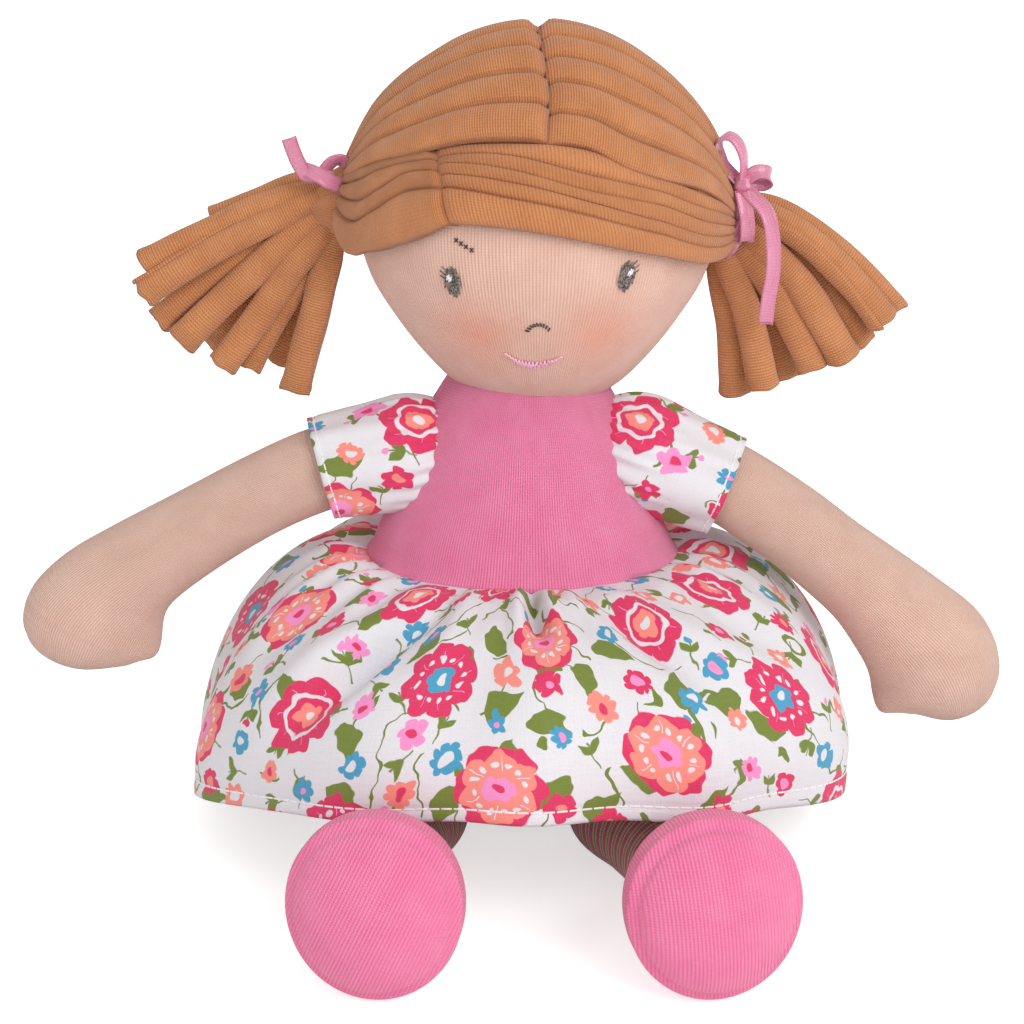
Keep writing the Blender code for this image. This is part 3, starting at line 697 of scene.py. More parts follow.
def arm_form(side):
    sections = [
        (arm_point(side, out, up), wide * arm_width / 2, deep * arm_depth / 2)
        for out, up, wide, deep in arm_shares[side]
    ]
    bm = stuffed(sections, y_axis, 72, 110)
    thumb = arm_point(side, *thumb_shares[side])
    palm = arm_point(side, *arm_shares[side][-4][:2])
    pull = (thumb - palm).normalized()
    for vert in bm.verts:
        near = math.exp(-(((vert.co - thumb).length / thumb_spread) ** 2))
        vert.co += pull * thumb_pull * near
    return bm


for side in sides:
    limb = "arm_" + side
    arm = piece("arm_skin_" + side, arm_form(side), arm_jersey, limb, [limb])

# %% [markdown]
# The legs are striped tubes. The knit changes yarn every few rows, so the stripes are rings,
# and they follow the second coordinate of the cloth, which runs along the leg.

# %% The legs
hip_side = 15 * mm
leg_radius = 9.8 * mm
leg_spread = 5 * mm
leg_bow = 4 * mm
foot_width = 36.5 * mm
foot_height = 38.4 * mm
foot_depth = 27 * mm
foot_lean = math.radians(13)
foot_turns = {"left": math.radians(-8), "right": math.radians(10)}
foot_sides = {"left": -28.5 * mm, "right": 38.8 * mm}
foot_forward = 68.5 * mm
foot_sink = 0
ankle_side_share = 0.93
ankle_back_share = 0.2
ankle_up_share = 1.4
leg_shares = (
    (-0.2, 0.0), (0.0, 0.97), (0.25, 1.0), (0.55, 1.0), (0.85, 0.97), (1.0, 0.8), (1.12, 0.0),
)
stripe_height = 2.7
stripe_starts = (0.42, 0.62, 0.84)
stripe_colours = (srgb(206, 84, 126), srgb(208, 186, 158), srgb(138, 140, 70), srgb(212, 190, 162))
# Painted shade in the grooves of the striped knit.
stripe_groove_shade = 0.35


def striped_jersey():
    made, tree, shader = new_material("striped_jersey", jersey_roughness, jersey_sheen)
    across, along = cloth_place(tree)
    height = knit_height(across, along, 0.62, 0.5)
    ring = calc("FRACT", along / stripe_height)
    colour = stripe_colours[0]
    for start, stripe in zip(stripe_starts, stripe_colours[1:]):
        colour = mix_colour(ring > start, colour, stripe)
    # Painted shade: the colour darkens towards a dull red where the knit is low.
    shade = height * -stripe_groove_shade + stripe_groove_shade
    colour = mix_colour(shade, colour, srgb(120, 70, 70))
    dress(shader, colour, height, 0.15)
    return made


def leg_form(side):
    hip = Vector((sides[side] * hip_side, -hip_forward, leg_radius))
    ankle = Vector((
        foot_sides[side] * ankle_side_share,
        foot_depth * ankle_back_share - foot_forward,
        leg_radius * ankle_up_share,
    ))
    sections = []
    for along, wide in leg_shares:
        outside = leg_spread * (1 - along) + leg_bow * math.sin(math.pi * min(1, max(0, along)))
        middle = hip.lerp(ankle, along) + x_axis * sides[side] * outside
        sections.append((middle, wide * leg_radius, wide * leg_radius))
    bm = stuffed(sections, z_axis, 64, 64)
    press_to_floor(bm)
    return bm


leg_material = striped_jersey()
for side in sides:
    limb = "leg_" + side
    leg = piece("leg_skin_" + side, leg_form(side), leg_material, limb, [limb])

# %% [markdown]
# A foot is sewn from a sole and an upper. The rings of its sphere lie parallel to the seam
# between them, so the seam is simply a few rings raised into a ridge beside a small groove.
# The sole's wales run straight over it, and the upper's run out from the seam.

# %% The feet
seam_share = 0.29
seam_ridge = 0.8 * mm
seam_groove = 0.7 * mm
seam_width_share = 0.075
groove_step = 1.7
rim_power = 0.86
toe_egg_share = 0.025
sole_turns = {"left": math.radians(24), "right": math.radians(-4)}
foot_around = 120
foot_along = 84


def foot_frame(side):
    """The foot's middle and its directions: to the side, to the toes, out of the sole."""
    turn = Matrix.Rotation(foot_turns[side], 3, "Z")
    toes = turn @ Vector((0, math.sin(foot_lean), math.cos(foot_lean)))
    sole = turn @ Vector((0, -math.cos(foot_lean), math.sin(foot_lean)))
    middle = Vector((foot_sides[side], -foot_forward, foot_height / 2 - foot_sink))
    return middle, toes.cross(sole), toes, sole


def foot_form(side):
    middle, wide, toes, sole = foot_frame(side)
    bm = bmesh.new()
    bmesh.ops.create_uvsphere(bm, u_segments=foot_around, v_segments=foot_along, radius=1)
    cloth = bm.loops.layers.uv.new("cloth")
    flat = Matrix.Rotation(sole_turns[side], 2)
    spots = {}
    for vert in bm.verts:
        unit = vert.co.copy()
        turn = None if abs(unit.z) > 1 - 1e-5 else math.atan2(unit.y, unit.x)
        rim = math.hypot(unit.x, unit.y) ** rim_power
        from_seam = unit.z - seam_share
        from_groove = from_seam - seam_width_share * groove_step
        ridge = seam_ridge * math.exp(-((from_seam / seam_width_share) ** 2))
        groove = seam_groove * math.exp(-((from_groove / seam_width_share) ** 2))
        angle = turn or 0
        egg = 1 + toe_egg_share * math.sin(angle) - toe_egg_share / 2 * math.cos(2 * angle)
        side_out = math.cos(angle) * (rim * foot_width / 2 * egg + ridge - groove)
        toe_out = math.sin(angle) * (rim * foot_height / 2 + ridge - groove)
        vert.co = middle + wide * side_out + toes * toe_out + sole * unit.z * foot_depth / 2
        spots[vert.index] = (unit.z, turn, flat @ Vector((side_out, toe_out)) / mm)
    for face in bm.faces:
        height = sum(spots[loop.vert.index][0] for loop in face.loops) / len(face.loops)
        spread = even_turns([spots[loop.vert.index][1] for loop in face.loops])
        for loop, turn in zip(face.loops, spread):
            up, _, planar = spots[loop.vert.index]
            if height > seam_share:
                loop[cloth].uv = planar
            else:
                down = math.acos(max(-1, up)) * foot_depth / 2
                loop[cloth].uv = (turn * foot_width / 2 / mm, down / mm)
    press_to_floor(bm)
    bmesh.ops.recalc_face_normals(bm, faces=bm.faces)
    return bm


for side in sides:
    nodes = ["foot_" + side, "sole_" + side]
    foot = piece("foot_skin_" + side, foot_form(side), foot_jersey, "leg_" + side, nodes)

# %% [markdown]
# Skirt and sleeves are cut from one printed cotton. The print is made by arithmetic. The
# cloth is divided into slanted cells, and every cell holds one motif, moved and turned by
# the cell's own random numbers. Three such layers give big blooms, small flowers and
# leaves. A small flower stays away where a bloom already grows.

# %% The print's colours and helpers
white_ink = srgb(232, 229, 233)
crimson = srgb(226, 52, 100)
coral = srgb(250, 146, 132)
sky_blue = srgb(72, 160, 198)
leaf_green = srgb(118, 134, 50)
light_pink = srgb(250, 150, 205)
row_shift = 0.43
soft_edge = 0.22
lobe_roundness = 0.6


def cell_dice(column, row, seed):
    """Three random numbers from 0 to 1 for a cell."""
    join = row.tree.nodes.new("ShaderNodeCombineXYZ")
    feed(join.inputs[0], column)
    feed(join.inputs[1], row)
    join.inputs[2].default_value = seed
    dice = row.tree.nodes.new("ShaderNodeTexWhiteNoise")
    dice.noise_dimensions = "3D"
    feed(dice.inputs["Vector"], Formula(join.outputs[0]))
    split = row.tree.nodes.new("ShaderNodeSeparateColor")
    feed(split.inputs[0], Formula(dice.outputs["Color"]))
    return [Formula(socket) for socket in split.outputs]


def scatter(place, cell, turn, jitter, seed):
    """The offset from the nearest motif's middle, its random number, and that middle."""
    across, along = place
    wide, tall = cell
    cosine, sine = math.cos(turn), math.sin(turn)
    y = along * (cosine / tall) + across * (-sine / tall)
    row = calc("FLOOR", y)
    shift = row * row_shift
    x = across * (cosine / wide) + along * (sine / wide) + shift
    column = calc("FLOOR", x)
    dice = cell_dice(column, row, seed)
    middle_x = column + (dice[0] * jitter + (0.5 - jitter / 2))
    middle_y = row + (dice[1] * jitter + (0.5 - jitter / 2))
    offset = ((x - middle_x) * wide, (y - middle_y) * tall)
    flat_x = (middle_x - shift) * wide
    flat_y = middle_y * tall
    middle = (flat_x * cosine + flat_y * -sine, flat_x * sine + flat_y * cosine)
    return offset, dice[2], middle


def length_of(x, y):
    return calc("SQRT", x * x + y * y)


def angle_of(x, y):
    return calc("ARCTAN2", y, x)


def inside(edge, distance):
    """1 inside an edge and 0 outside, with a narrow soft border."""
    return limited((edge - distance) / soft_edge + 0.5)


def between(value, low, high):
    return (value > low) * (value < high)


def petals(angle, lobes, radius, depth):
    """The outline of a round flower with lobes."""
    lobe = calc("POWER", abs(calc("COSINE", angle * (lobes * 0.5))), lobe_roundness)
    return lobe * (radius * depth) + radius * (1 - depth)


def dot_ring(distance, angle, count, radius, dot):
    """Dots along a circle."""
    step = calc("FRACT", angle * (count / math.tau))
    aside = (step - 0.5) * (math.tau * radius / count)
    return inside(dot, length_of(aside, distance - radius))


def palette(value, colours):
    """One of several colours, by a number from 0 to 1."""
    ramp = value.tree.nodes.new("ShaderNodeValToRGB")
    ramp.color_ramp.interpolation = "CONSTANT"
    stops = ramp.color_ramp.elements
    while len(stops) < len(colours):
        stops.new(0.5)
    for index, colour in enumerate(colours):
        stops[index].position = index / len(colours)
        stops[index].color = colour
    feed(ramp.inputs[0], value)
    return Formula(ramp.outputs[0])


def paint(colour, mask, ink):
    return mix_colour(mask, colour, ink)


print("print helpers are ready")

# %% Leaves and vines
leaf_cell = (12.5, 11)
leaf_turn = math.radians(37)
leaf_jitter = 0.34
leaf_length = 5.4
leaf_width = 2.9
leaf_bend = 0.05
leaf_taper = 0.45
single_leaves = 0.36
twin_spread = math.radians(38)
twin_middle = 1.7
twin_half_length = 2.1
twin_half_width = 0.95
stem_half_width = 0.2
stem_reach = (-3.6, 3.0)
bud_at = 3.6
bud_radius = 0.95
buds_from = 0.68
vine_scale = 0.06
vine_lines = 3.1
vine_break_scale = 0.11
vine_gaps = 0.49


def single_leaf(x, y):
    """A bent leaf, wider on one half than on the other."""
    bend = x * x * leaf_bend
    along = x / leaf_length
    half_width = (along * along * -leaf_width + leaf_width) * (along * leaf_taper + 1)
    return inside(half_width, abs(y - bend))


def twin_leaves(x, y):
    """Two small leaves that part from one stem."""
    aside = abs(y)
    cosine, sine = math.cos(twin_spread), math.sin(twin_spread)
    along = (x * cosine + aside * sine - twin_middle) / twin_half_length
    leaf_side = aside * cosine + x * -sine
    leaf = inside(along * along * -twin_half_width + twin_half_width, abs(leaf_side))
    stem = inside(stem_half_width, aside) * between(x, *stem_reach)
    return calc("MAXIMUM", leaf, stem)


def paint_leaves(place, colour):
    offset, kind, _ = scatter(place, leaf_cell, leaf_turn, leaf_jitter, 3)
    turn = kind * 37
    cosine, sine = calc("COSINE", turn), calc("SINE", turn)
    x = offset[0] * cosine + offset[1] * sine
    y = offset[1] * cosine - offset[0] * sine
    single = kind < single_leaves
    leaves = calc("MAXIMUM", single_leaf(x, y) * single, twin_leaves(x, y) * (1 - single))
    colour = paint(colour, leaves, leaf_green)
    bud = inside(bud_radius, length_of(x - bud_at, y)) * (kind > buds_from)
    return paint(colour, bud, palette(calc("FRACT", turn), (sky_blue, crimson, light_pink)))


def paint_vines(place, colour):
    """Long thin stems: the level lines of a smooth noise, broken into pieces."""
    across, along = place
    hills = speckle(across * vine_scale, along * vine_scale, 0)
    level = calc("PINGPONG", hills * vine_lines, 0.5)
    line = inside(0.5, (level - 0.02) / 0.028)
    breaks = speckle(across * vine_break_scale + 70, along * vine_break_scale, 0)
    return paint(colour, line * (breaks > vine_gaps), leaf_green)


print("leaves:", leaf_cell, "mm apart")

# %% Blooms and flowers
bloom_cell = (33, 28.5)
bloom_turn = math.radians(14)
bloom_jitter = 0.22
bloom_radius = 9.2
pale_kinds = (0.34, 0.67)
hoop_share = 0.52
dots_share = 0.54
dot_count = 12
dot_size = 0.62
vein_shares = (0.44, 0.74)
flower_cell = (12, 11)
flower_turn = math.radians(-23)
flower_jitter = 0.3
flower_radius = 3.7
flower_depth = 0.34
heart_share = 0.34


def bloom_offsets(place):
    return scatter(place, bloom_cell, bloom_turn, bloom_jitter, 1)


def clear_of_blooms(middle):
    """1 where a small flower's middle is far enough from the nearest bloom."""
    offset, _, _ = bloom_offsets(middle)
    return length_of(*offset) > bloom_radius + flower_radius * 0.62


def paint_flowers(place, colour):
    offset, kind, middle = scatter(place, flower_cell, flower_turn, flower_jitter, 2)
    distance = length_of(*offset)
    angle = angle_of(*offset) + kind * 29
    lobes = calc("FLOOR", calc("FRACT", kind * 17) * 4) + 5
    size = calc("FRACT", kind * 41) * 0.35 + 0.68
    edge = petals(angle, lobes, flower_radius, flower_depth) * size
    clear = clear_of_blooms(middle)
    ink = palette(kind, (sky_blue, crimson, light_pink, coral, crimson, sky_blue, coral))
    heart = palette(kind, (white_ink, light_pink, crimson, white_ink, coral, light_pink, crimson))
    colour = paint(colour, inside(edge, distance) * clear, ink)
    return paint(colour, inside(size * (flower_radius * heart_share), distance) * clear, heart)


def bloom_marks(distance, angle, lobes, ringed):
    """The veins on a bloom's petals, and its ring of dots or its hoop."""
    vein = abs(calc("SINE", angle * (lobes * 0.5))) * distance
    near, far = vein_shares
    veins = inside(0.3, vein) * between(distance, bloom_radius * near, bloom_radius * far)
    dots = dot_ring(distance, angle, dot_count, bloom_radius * dots_share, dot_size)
    hoop = inside(0.5, abs(distance - bloom_radius * hoop_share))
    return veins, calc("MAXIMUM", dots * (1 - ringed), hoop * ringed)


def paint_blooms(place, colour):
    offset, kind, _ = bloom_offsets(place)
    distance = length_of(*offset)
    angle = angle_of(*offset) + kind * 23
    pale = between(kind, *pale_kinds)
    ringed = kind > pale_kinds[1]
    lobes = 8 - (pale * 2 + ringed)
    shadow = inside(petals(angle + 0.5, lobes, bloom_radius, 0.16), distance) * pale
    colour = paint(colour, shadow, crimson)
    edge = petals(angle, lobes, bloom_radius * 0.98, 0.2) + pale * -1.1
    colour = paint(colour, inside(edge, distance), mix_colour(pale, crimson, coral))
    veins, ring = bloom_marks(distance, angle, lobes, ringed)
    colour = paint(colour, veins, mix_colour(pale, light_pink, white_ink))
    colour = paint(colour, ring, white_ink)
    heart = petals(angle, 5, bloom_radius * heart_share, 0.24)
    colour = paint(colour, inside(heart, distance), palette(kind, (sky_blue, light_pink, coral)))
    spot = palette(kind, (white_ink, crimson, white_ink))
    return paint(colour, inside(bloom_radius * 0.13, distance), spot)


print("blooms:", bloom_cell, "mm apart")

# %% The printed cotton
wobble_scale = 0.3
wobble_reach = 2.4
cotton_thread = 0.42
slub_scales = (3.2, 0.16)


def hand_drawn(across, along):
    """The place on the cloth, swayed a little, so that no outline is quite regular."""
    sway_across = speckle(across * wobble_scale, along * wobble_scale, 0.5)
    sway_along = speckle(along * wobble_scale + 50, across * wobble_scale, 0.5)
    return sway_across * wobble_reach + across, sway_along * wobble_reach + along


def printed_cotton():
    made, tree, shader = new_material("printed_cotton", 0.72, 0.12)
    across, along = cloth_place(tree)
    place = hand_drawn(across, along)
    colour = white_ink
    for paint_layer in (paint_vines, paint_leaves, paint_flowers, paint_blooms):
        colour = paint_layer(place, colour)
    fine, long = slub_scales
    slub = (speckle(across * fine, along * long, 3) + speckle(across * long, along * fine, 3)) * 0.5
    turn = math.tau / cotton_thread
    weave = calc("SINE", across * turn) * calc("SINE", along * turn)
    # Painted shade: the cloth darkens towards a grey lilac where its slubby yarn lies low, with a
    # faint trace of the weave.
    shade = weave * 0.03 + (slub * -0.34 + 0.2)
    colour = mix_colour(calc("MAXIMUM", shade, 0), colour, srgb(170, 160, 172))
    dress(shader, colour, weave * 0.25 + slub, 0.12)
    return made


cotton = printed_cotton()
print(cotton.name, len(cotton.node_tree.nodes), "nodes")

# %% [markdown]
# The skirt is one long strip of cotton, gathered at the waist and sewn into the seam. A
# grid is the natural start: one side of it goes round the waist and the other down to the
# hem. Each of its points is put on a dome, and then the gathers, which fade downwards, and
# the broad soft folds are added square to the dome. Solidify gives the cloth its thickness.

# %% Grids of cloth
def cloth_grid(columns, rows, flat_wide, place, closed):
    """A grid put in place by its share across and along. Its UV is its flat place in
    millimetres: the share across, and the length of cloth up from its last row."""
    bm = bmesh.new()
    bmesh.ops.create_grid(bm, x_segments=columns, y_segments=rows, size=0.5)
    shares = {vert: (vert.co.x + 0.5, vert.co.y + 0.5) for vert in bm.verts}
    for vert, (u, v) in shares.items():
        vert.co = place(u, v)
    heights, lows = {}, {}
    for vert in sorted(bm.verts, key=lambda vert: -shares[vert][1]):
        column = round(shares[vert][0] * columns)
        low = lows.get(column)
        heights[vert] = heights[low] + (vert.co - low.co).length / mm if low else 0.0
        lows[column] = vert
    cloth = bm.loops.layers.uv.new("cloth")
    for face in bm.faces:
        for loop in face.loops:
            loop[cloth].uv = (shares[loop.vert][0] * flat_wide / mm, heights[loop.vert])
    if closed:
        bmesh.ops.remove_doubles(bm, verts=bm.verts, dist=0.001 * mm)
    return bm


def turn_outward(bm, middle):
    """Make the faces of an open sheet look away from a point."""
    outward = 0
    for face in bm.faces:
        face.normal_update()
        outward += face.normal.dot(face.calc_center_median() - middle) * face.calc_area()
    if outward < 0:
        bmesh.ops.reverse_faces(bm, faces=bm.faces)


def thicken(item, thickness, offset=-1):
    """Turn a sheet into cloth with two sides."""
    solid = item.modifiers.new("cloth_thickness", "SOLIDIFY")
    solid.thickness = thickness
    solid.offset = offset
    solid.use_even_offset = False


def uneven(place, scale):
    """A repeatable random number from -1 to 1 that changes smoothly."""
    return noise.noise(Vector(place) * scale)


print("grid helpers are ready")

# %% The skirt
skirt_side = 73.5 * mm
skirt_front = 59 * mm
skirt_back = 64 * mm
skirt_top = 62 * mm
skirt_hem_back = 4.5 * mm
skirt_hem_front = 31.5 * mm
skirt_middle = 4 * mm
skirt_cloth = 0.55 * mm
skirt_wide = 430 * mm
skirt_long = 68 * mm
waist_share = 0.125
drop_power = 0.99
drop_sway = 0.07
hip_bulge = 0.035
hip_sway = 0.012
hem_tuck = 0.9 * mm
plan_square = 0.8
hem_curve = 1.7
lift_reach = math.radians(97)
gathers = 30
gather_depth = 1.35 * mm
gather_end = 0.5
middle_folds = 11
middle_fold = 1.1 * mm
broad_fold = 2.6 * mm
dents = (
    (-36, 0.42, 6.5, 4.2, 0.21, -36),
    (-46, 0.42, -3.2, 6, 0.2, -36),
    (-18, 0.3, -1.8, 8, 0.2, -10),
    (-24, 0.3, 1.8, 4, 0.12, -20),
    (-9, 0.15, 1.8, 3, 0.08, 0),
    (5, 0.18, 5.4, 3.6, 0.11, 12),
    (-2, 0.12, -2.2, 4, 0.1, 0),
    (12, 0.14, -1.8, 4, 0.1, 0),
    (17, 0.2, 2.0, 3, 0.1, 16),
    (33, 0.34, 4.0, 4.6, 0.17, 26),
    (44, 0.34, -2.0, 6, 0.17, 26),
    (-62, 0.36, 2.4, 5, 0.16, -20),
    (60, 0.4, 2.4, 6, 0.16, 24),
    (125, 0.4, 2.6, 7, 0.18, 10),
    (-150, 0.38, 2.6, 7, 0.18, -8),
)
hem_up = 3.7 * mm
stitch_pitch = 2.5 * mm
seam_middle = body_point(waist_up)
level_front = Vector((0, -math.cos(waist_tilt), math.sin(waist_tilt)))


def skirt_dome(turn, v):
    """The smooth dome under the skirt's folds: a point and the way out of it."""
    front = math.cos(turn)
    from_front = abs(math.remainder(turn, math.tau)) / lift_reach
    outward = x_axis * math.sin(turn) + level_front * front
    waist = body_surface.ray_cast(seam_middle, outward)[0] + outward * 0.3 * mm
    depth = skirt_front if front > 0 else skirt_back
    square = math.copysign(abs(front) ** plan_square, front)
    hem_y = skirt_middle - (depth + skirt_middle * front) * square
    hem_z = skirt_hem_back + (skirt_hem_front - skirt_hem_back) * max(0, 1 - from_front**hem_curve)
    hem = Vector((skirt_side * math.sin(turn), hem_y, hem_z))
    swing = math.pi / 2 * v
    down = math.cos(swing) ** (drop_power - drop_sway * math.sin(turn))
    top = waist.z + (skirt_top - seam_middle.z) * min(1, v / waist_share)
    bulge = (hip_bulge + hip_sway * math.sin(turn)) * abs(math.sin(turn)) * math.sin(2 * swing)
    point = waist.lerp(hem, math.sin(swing) + bulge)
    point.z = hem.z + (top - hem.z) * down
    level = Vector((math.sin(turn), -front, 0))
    point -= level * hem_tuck * abs(math.sin(turn)) * smooth_step(v, 0.82, 1)
    return point, level * math.sin(swing) + z_axis * math.cos(swing)


def skirt_place(u, v):
    turn = (u + 0.5) * math.tau
    point, outward = skirt_dome(turn, v)
    spot = (math.sin(turn) * 2, math.cos(turn) * 2, v)
    fade = smooth_step(gather_end - v, 0, gather_end) * smooth_step(v, 0, 0.07)
    phase = gathers * turn + 2.2 * math.sin(5 * turn) + 3 * uneven(spot, 1.3)
    strength = 0.65 + 0.5 * uneven((spot[0], spot[1], 4), 2.2)
    lift = gather_depth * math.cos(phase) * fade * strength
    drift = 0.8 * math.sin(3 * turn) + 1.2 * uneven((spot[0], spot[1], 9), 0.8)
    wave = math.cos(middle_folds * turn + drift)
    lift += middle_fold * wave * smooth_step(v, 0.05, 0.6)
    lift += broad_fold * uneven((spot[0], spot[1], v * 1.4 + 3), 0.9) * smooth_step(v, 0.1, 0.5)
    for middle, low, deep, wide, tall, slope in dents:
        aside = math.degrees(math.remainder(turn, math.tau)) - middle - slope * (v - low)
        lift -= deep * mm * math.exp(-((aside / wide) ** 2) - ((v - low) / tall) ** 2)
    rise = (1 - v) * skirt_long
    lift += 0.28 * mm * (smooth_step(hem_up - rise, -0.2 * mm, 1.2 * mm) - 1)
    lift -= 0.25 * mm * math.exp(-(((rise - hem_up) / (0.8 * mm)) ** 2))
    return point + outward * lift


skirt_form = cloth_grid(400, 72, skirt_wide, skirt_place, True)
turn_outward(skirt_form, seam_middle - z_axis * 30 * mm)
skirt = piece("skirt_cloth", skirt_form, cotton, "torso", ["skirt"])
thicken(skirt, skirt_cloth)

# %% [markdown]
# The hem is turned up and sewn with white thread. The stitches are real: each is a small
# flattened capsule, laid on the cloth. A helper makes a capsule from a little sphere whose
# two halves are moved to the ends of the stitch, and all stitches of a seam are one mesh.

# %% Stitches
thread_grain = 2600
stitch_flatness = 0.55
stitch_share = 0.68


def add_stitch(bm, start, end, thick, up=None, flat=1.0):
    """One stitch between two points, a capsule, flattened along up if that is given."""
    along = (end - start).normalized()
    side = along.cross(up if up is not None else along.orthogonal()).normalized()
    high = side.cross(along)
    made = bmesh.ops.create_uvsphere(bm, u_segments=8, v_segments=5, radius=thick / 2)["verts"]
    for vert in made:
        base = end if vert.co.z > 0 else start
        vert.co = base + side * vert.co.x + high * vert.co.y * flat + along * vert.co.z


def thread_material(name, light, dark, roughness=0.5, contrast=1.0):
    made, tree, shader = new_material(name, roughness, 0.2)
    texture = tree.nodes.new("ShaderNodeTexNoise")
    texture.inputs["Scale"].default_value = thread_grain
    tree.links.new(tree.nodes.new("ShaderNodeTexCoord").outputs["Object"], texture.inputs["Vector"])
    grain = Formula(texture.outputs[0])
    share = limited(grain * contrast + (1 - contrast) / 2)
    dress(shader, mix_colour(share, dark, light), grain, 0.08)
    return made


white_thread = thread_material("white_thread", srgb(255, 253, 252), srgb(226, 222, 224))


def hem_stitches(name, place, middle, count, at, thick, body, lift):
    """A row of stitches round a hem, at a share along the cloth, facing away from a middle."""
    bm = bmesh.new()
    for index in range(count):
        start = place(index / count, at)
        end = place((index + stitch_share) / count, at)
        inner = place((index + 0.3) / count, at - 0.01)
        outward = (end - start).cross(inner - start).normalized()
        if outward.dot(start - middle) < 0:
            outward = -outward
        add_stitch(bm, start + outward * lift, end + outward * lift, thick, outward, stitch_flatness)
    bmesh.ops.recalc_face_normals(bm, faces=bm.faces)
    return piece(name, bm, white_thread, body)


skirt_stitches = {
    "name": "skirt_hem_stitches",
    "place": skirt_place,
    "middle": seam_middle - z_axis * 50 * mm,
    "count": round(skirt_wide / stitch_pitch),
    "at": 1 - hem_up / skirt_long,
    "thick": 0.55 * mm,
    "body": "torso",
    "lift": 0.1 * mm,
}
skirt_seam = hem_stitches(**skirt_stitches)

# %% [markdown]
# A sleeve is a short tube of the same cotton. It is gathered into the armhole, and its hem
# lies loosely round the arm. Its inner end is closed, inside the body, so that no hole
# opens when the arm swings.

# %% The sleeves
sleeve_ball = 25.7 * mm
sleeve_hem = 22.6 * mm
sleeve_reach = 19.5 * mm
ball_squash = 0.8
sleeve_start = -sleeve_ball / 2 / ball_squash
sleeve_cloth = 0.5 * mm
sleeve_wide = 92 * mm
sleeve_long = 33 * mm
sleeve_gathers = 22
sleeve_hem_up = 1.3 * mm
sleeve_reaches = {"left": 17.8 * mm, "right": 18.4 * mm}
sleeve_slants = {"left": 1.0 * mm, "right": 0.3 * mm}
sleeve_seam = {"left": math.radians(36), "right": math.radians(144)}
sleeve_stitches = 42


def sleeve_direction(side):
    route = arm_shares[side]
    return (arm_point(side, *route[3][:2]) - arm_point(side, *route[1][:2])).normalized()


def sleeve_placer(side):
    shoulder = shoulder_point(side)
    outward = sleeve_direction(side)
    across = outward.cross(y_axis).normalized()
    deep = across.cross(outward)

    def place(u, v):
        turn = u * math.tau + sleeve_seam[side]
        reach = sleeve_reaches[side] + sleeve_slants[side] * math.cos(turn) * sides[side]
        along = sleeve_start + (reach - sleeve_start) * v
        ball = sleeve_ball / 2
        if along < 0:
            radius = math.sqrt(max(0, ball**2 - (along * ball_squash) ** 2))
        else:
            radius = ball + (sleeve_hem / 2 - ball) * (along / sleeve_reach) ** 0.9
        spot = (math.cos(turn) * 2, math.sin(turn) * 2, v + sides[side] * 5)
        fade = smooth_step(0.75 - v, 0, 0.5) * smooth_step(v, 0, 0.15)
        radius += 0.45 * mm * math.cos(sleeve_gathers * turn + 2.5 * uneven(spot, 1.4)) * fade
        radius += 0.5 * mm * math.cos(7 * turn + 2 * uneven(spot, 0.7)) * smooth_step(v, 0.2, 0.9)
        rise = (1 - v) * sleeve_long
        radius -= 0.22 * mm * math.exp(-(((rise - sleeve_hem_up) / (0.6 * mm)) ** 2))
        return shoulder + outward * along + (across * math.cos(turn) + deep * math.sin(turn)) * radius

    return place


def add_sleeve(side):
    body = "arm_" + side
    place = sleeve_placer(side)
    middle = shoulder_point(side) + sleeve_direction(side) * sleeve_reach / 2
    form = cloth_grid(180, 40, sleeve_wide, place, True)
    turn_outward(form, middle)
    sleeve = piece("sleeve_cloth_" + side, form, cotton, body, ["sleeve_" + side])
    thicken(sleeve, sleeve_cloth)
    at = 1 - sleeve_hem_up / sleeve_long
    name = "sleeve_stitches_" + side
    row = hem_stitches(name, place, middle, sleeve_stitches, at, 0.4 * mm, body, 0.08 * mm)


for side in sides:
    add_sleeve(side)

# %% [markdown]
# The hair is made of jersey strips that are sewn down along the partings and swept to a tie
# on each side. All strips of one side are one grid over the head. Its rows run from the
# parting to the tie, and its columns go over the strips, which are rolled into round ribs
# with a sharp groove between them. The wider a strip is, the higher it is padded. Tables
# say where the strips of a row meet: each line gives a lap, counted in degrees from the
# parting to the tie, and the turns, counted in degrees forward from the crown.

# %% Hair directions
tie_tilts = {"left": math.radians(12), "right": 0.0}
hair_back = -122
cap_strips = {"left": 15, "right": 16}
cap_turns = {"left": (57, 44, 33.1, 20.7), "right": (57.9, 47.2, 36, 25.9)}
cap_fronts = {
    "left": ((-4, 57), (18.4, 58.3), (32.4, 60.1), (48.6, 63.5), (63.7, 65.5), (80, 71)),
    "right": ((-4, 57.9), (15, 58.7), (27.3, 63.8), (41.2, 65.6), (58.3, 65.5), (80, 70)),
}
cap_front_reach = 4
parting_line = (
    (hair_back, 0), (9.4, 0.2), (23, 1.2), (30.8, 2.0), (42.8, 3.1), (51.4, 2.5), (60, 2.3),
)
hair_hole = 6.8 * mm
hair_base = 2.2 * mm
other_side = {"left": "right", "right": "left"}
hair_swell = {"left": 2.1 * mm, "right": 1.7 * mm}
hair_cloth = 0.9 * mm
roll_share = 0.27
roll_least = 0.4
strip_columns = 12
hair_rows = 52
last_lap = math.degrees(math.acos(hair_hole / (head_width / 2 + hair_base)))


def tie_direction(side):
    tilt = tie_tilts[side]
    return x_axis * sides[side] * math.cos(tilt) + z_axis * math.sin(tilt)


def tie_point(side, out):
    """A point on the tie's line, a distance out from the head's side."""
    return head_middle + tie_direction(side) * (head_width / 2 + out)


def hair_direction(side, lap, turn):
    """From the parting (lap 0) to the tie (lap 90), at a turn forward from the crown."""
    lap, turn = math.radians(lap), math.radians(turn)
    parting = body_up * math.cos(turn) - body_back * math.sin(turn)
    return (parting * math.cos(lap) + tie_direction(side) * math.sin(lap)).normalized()


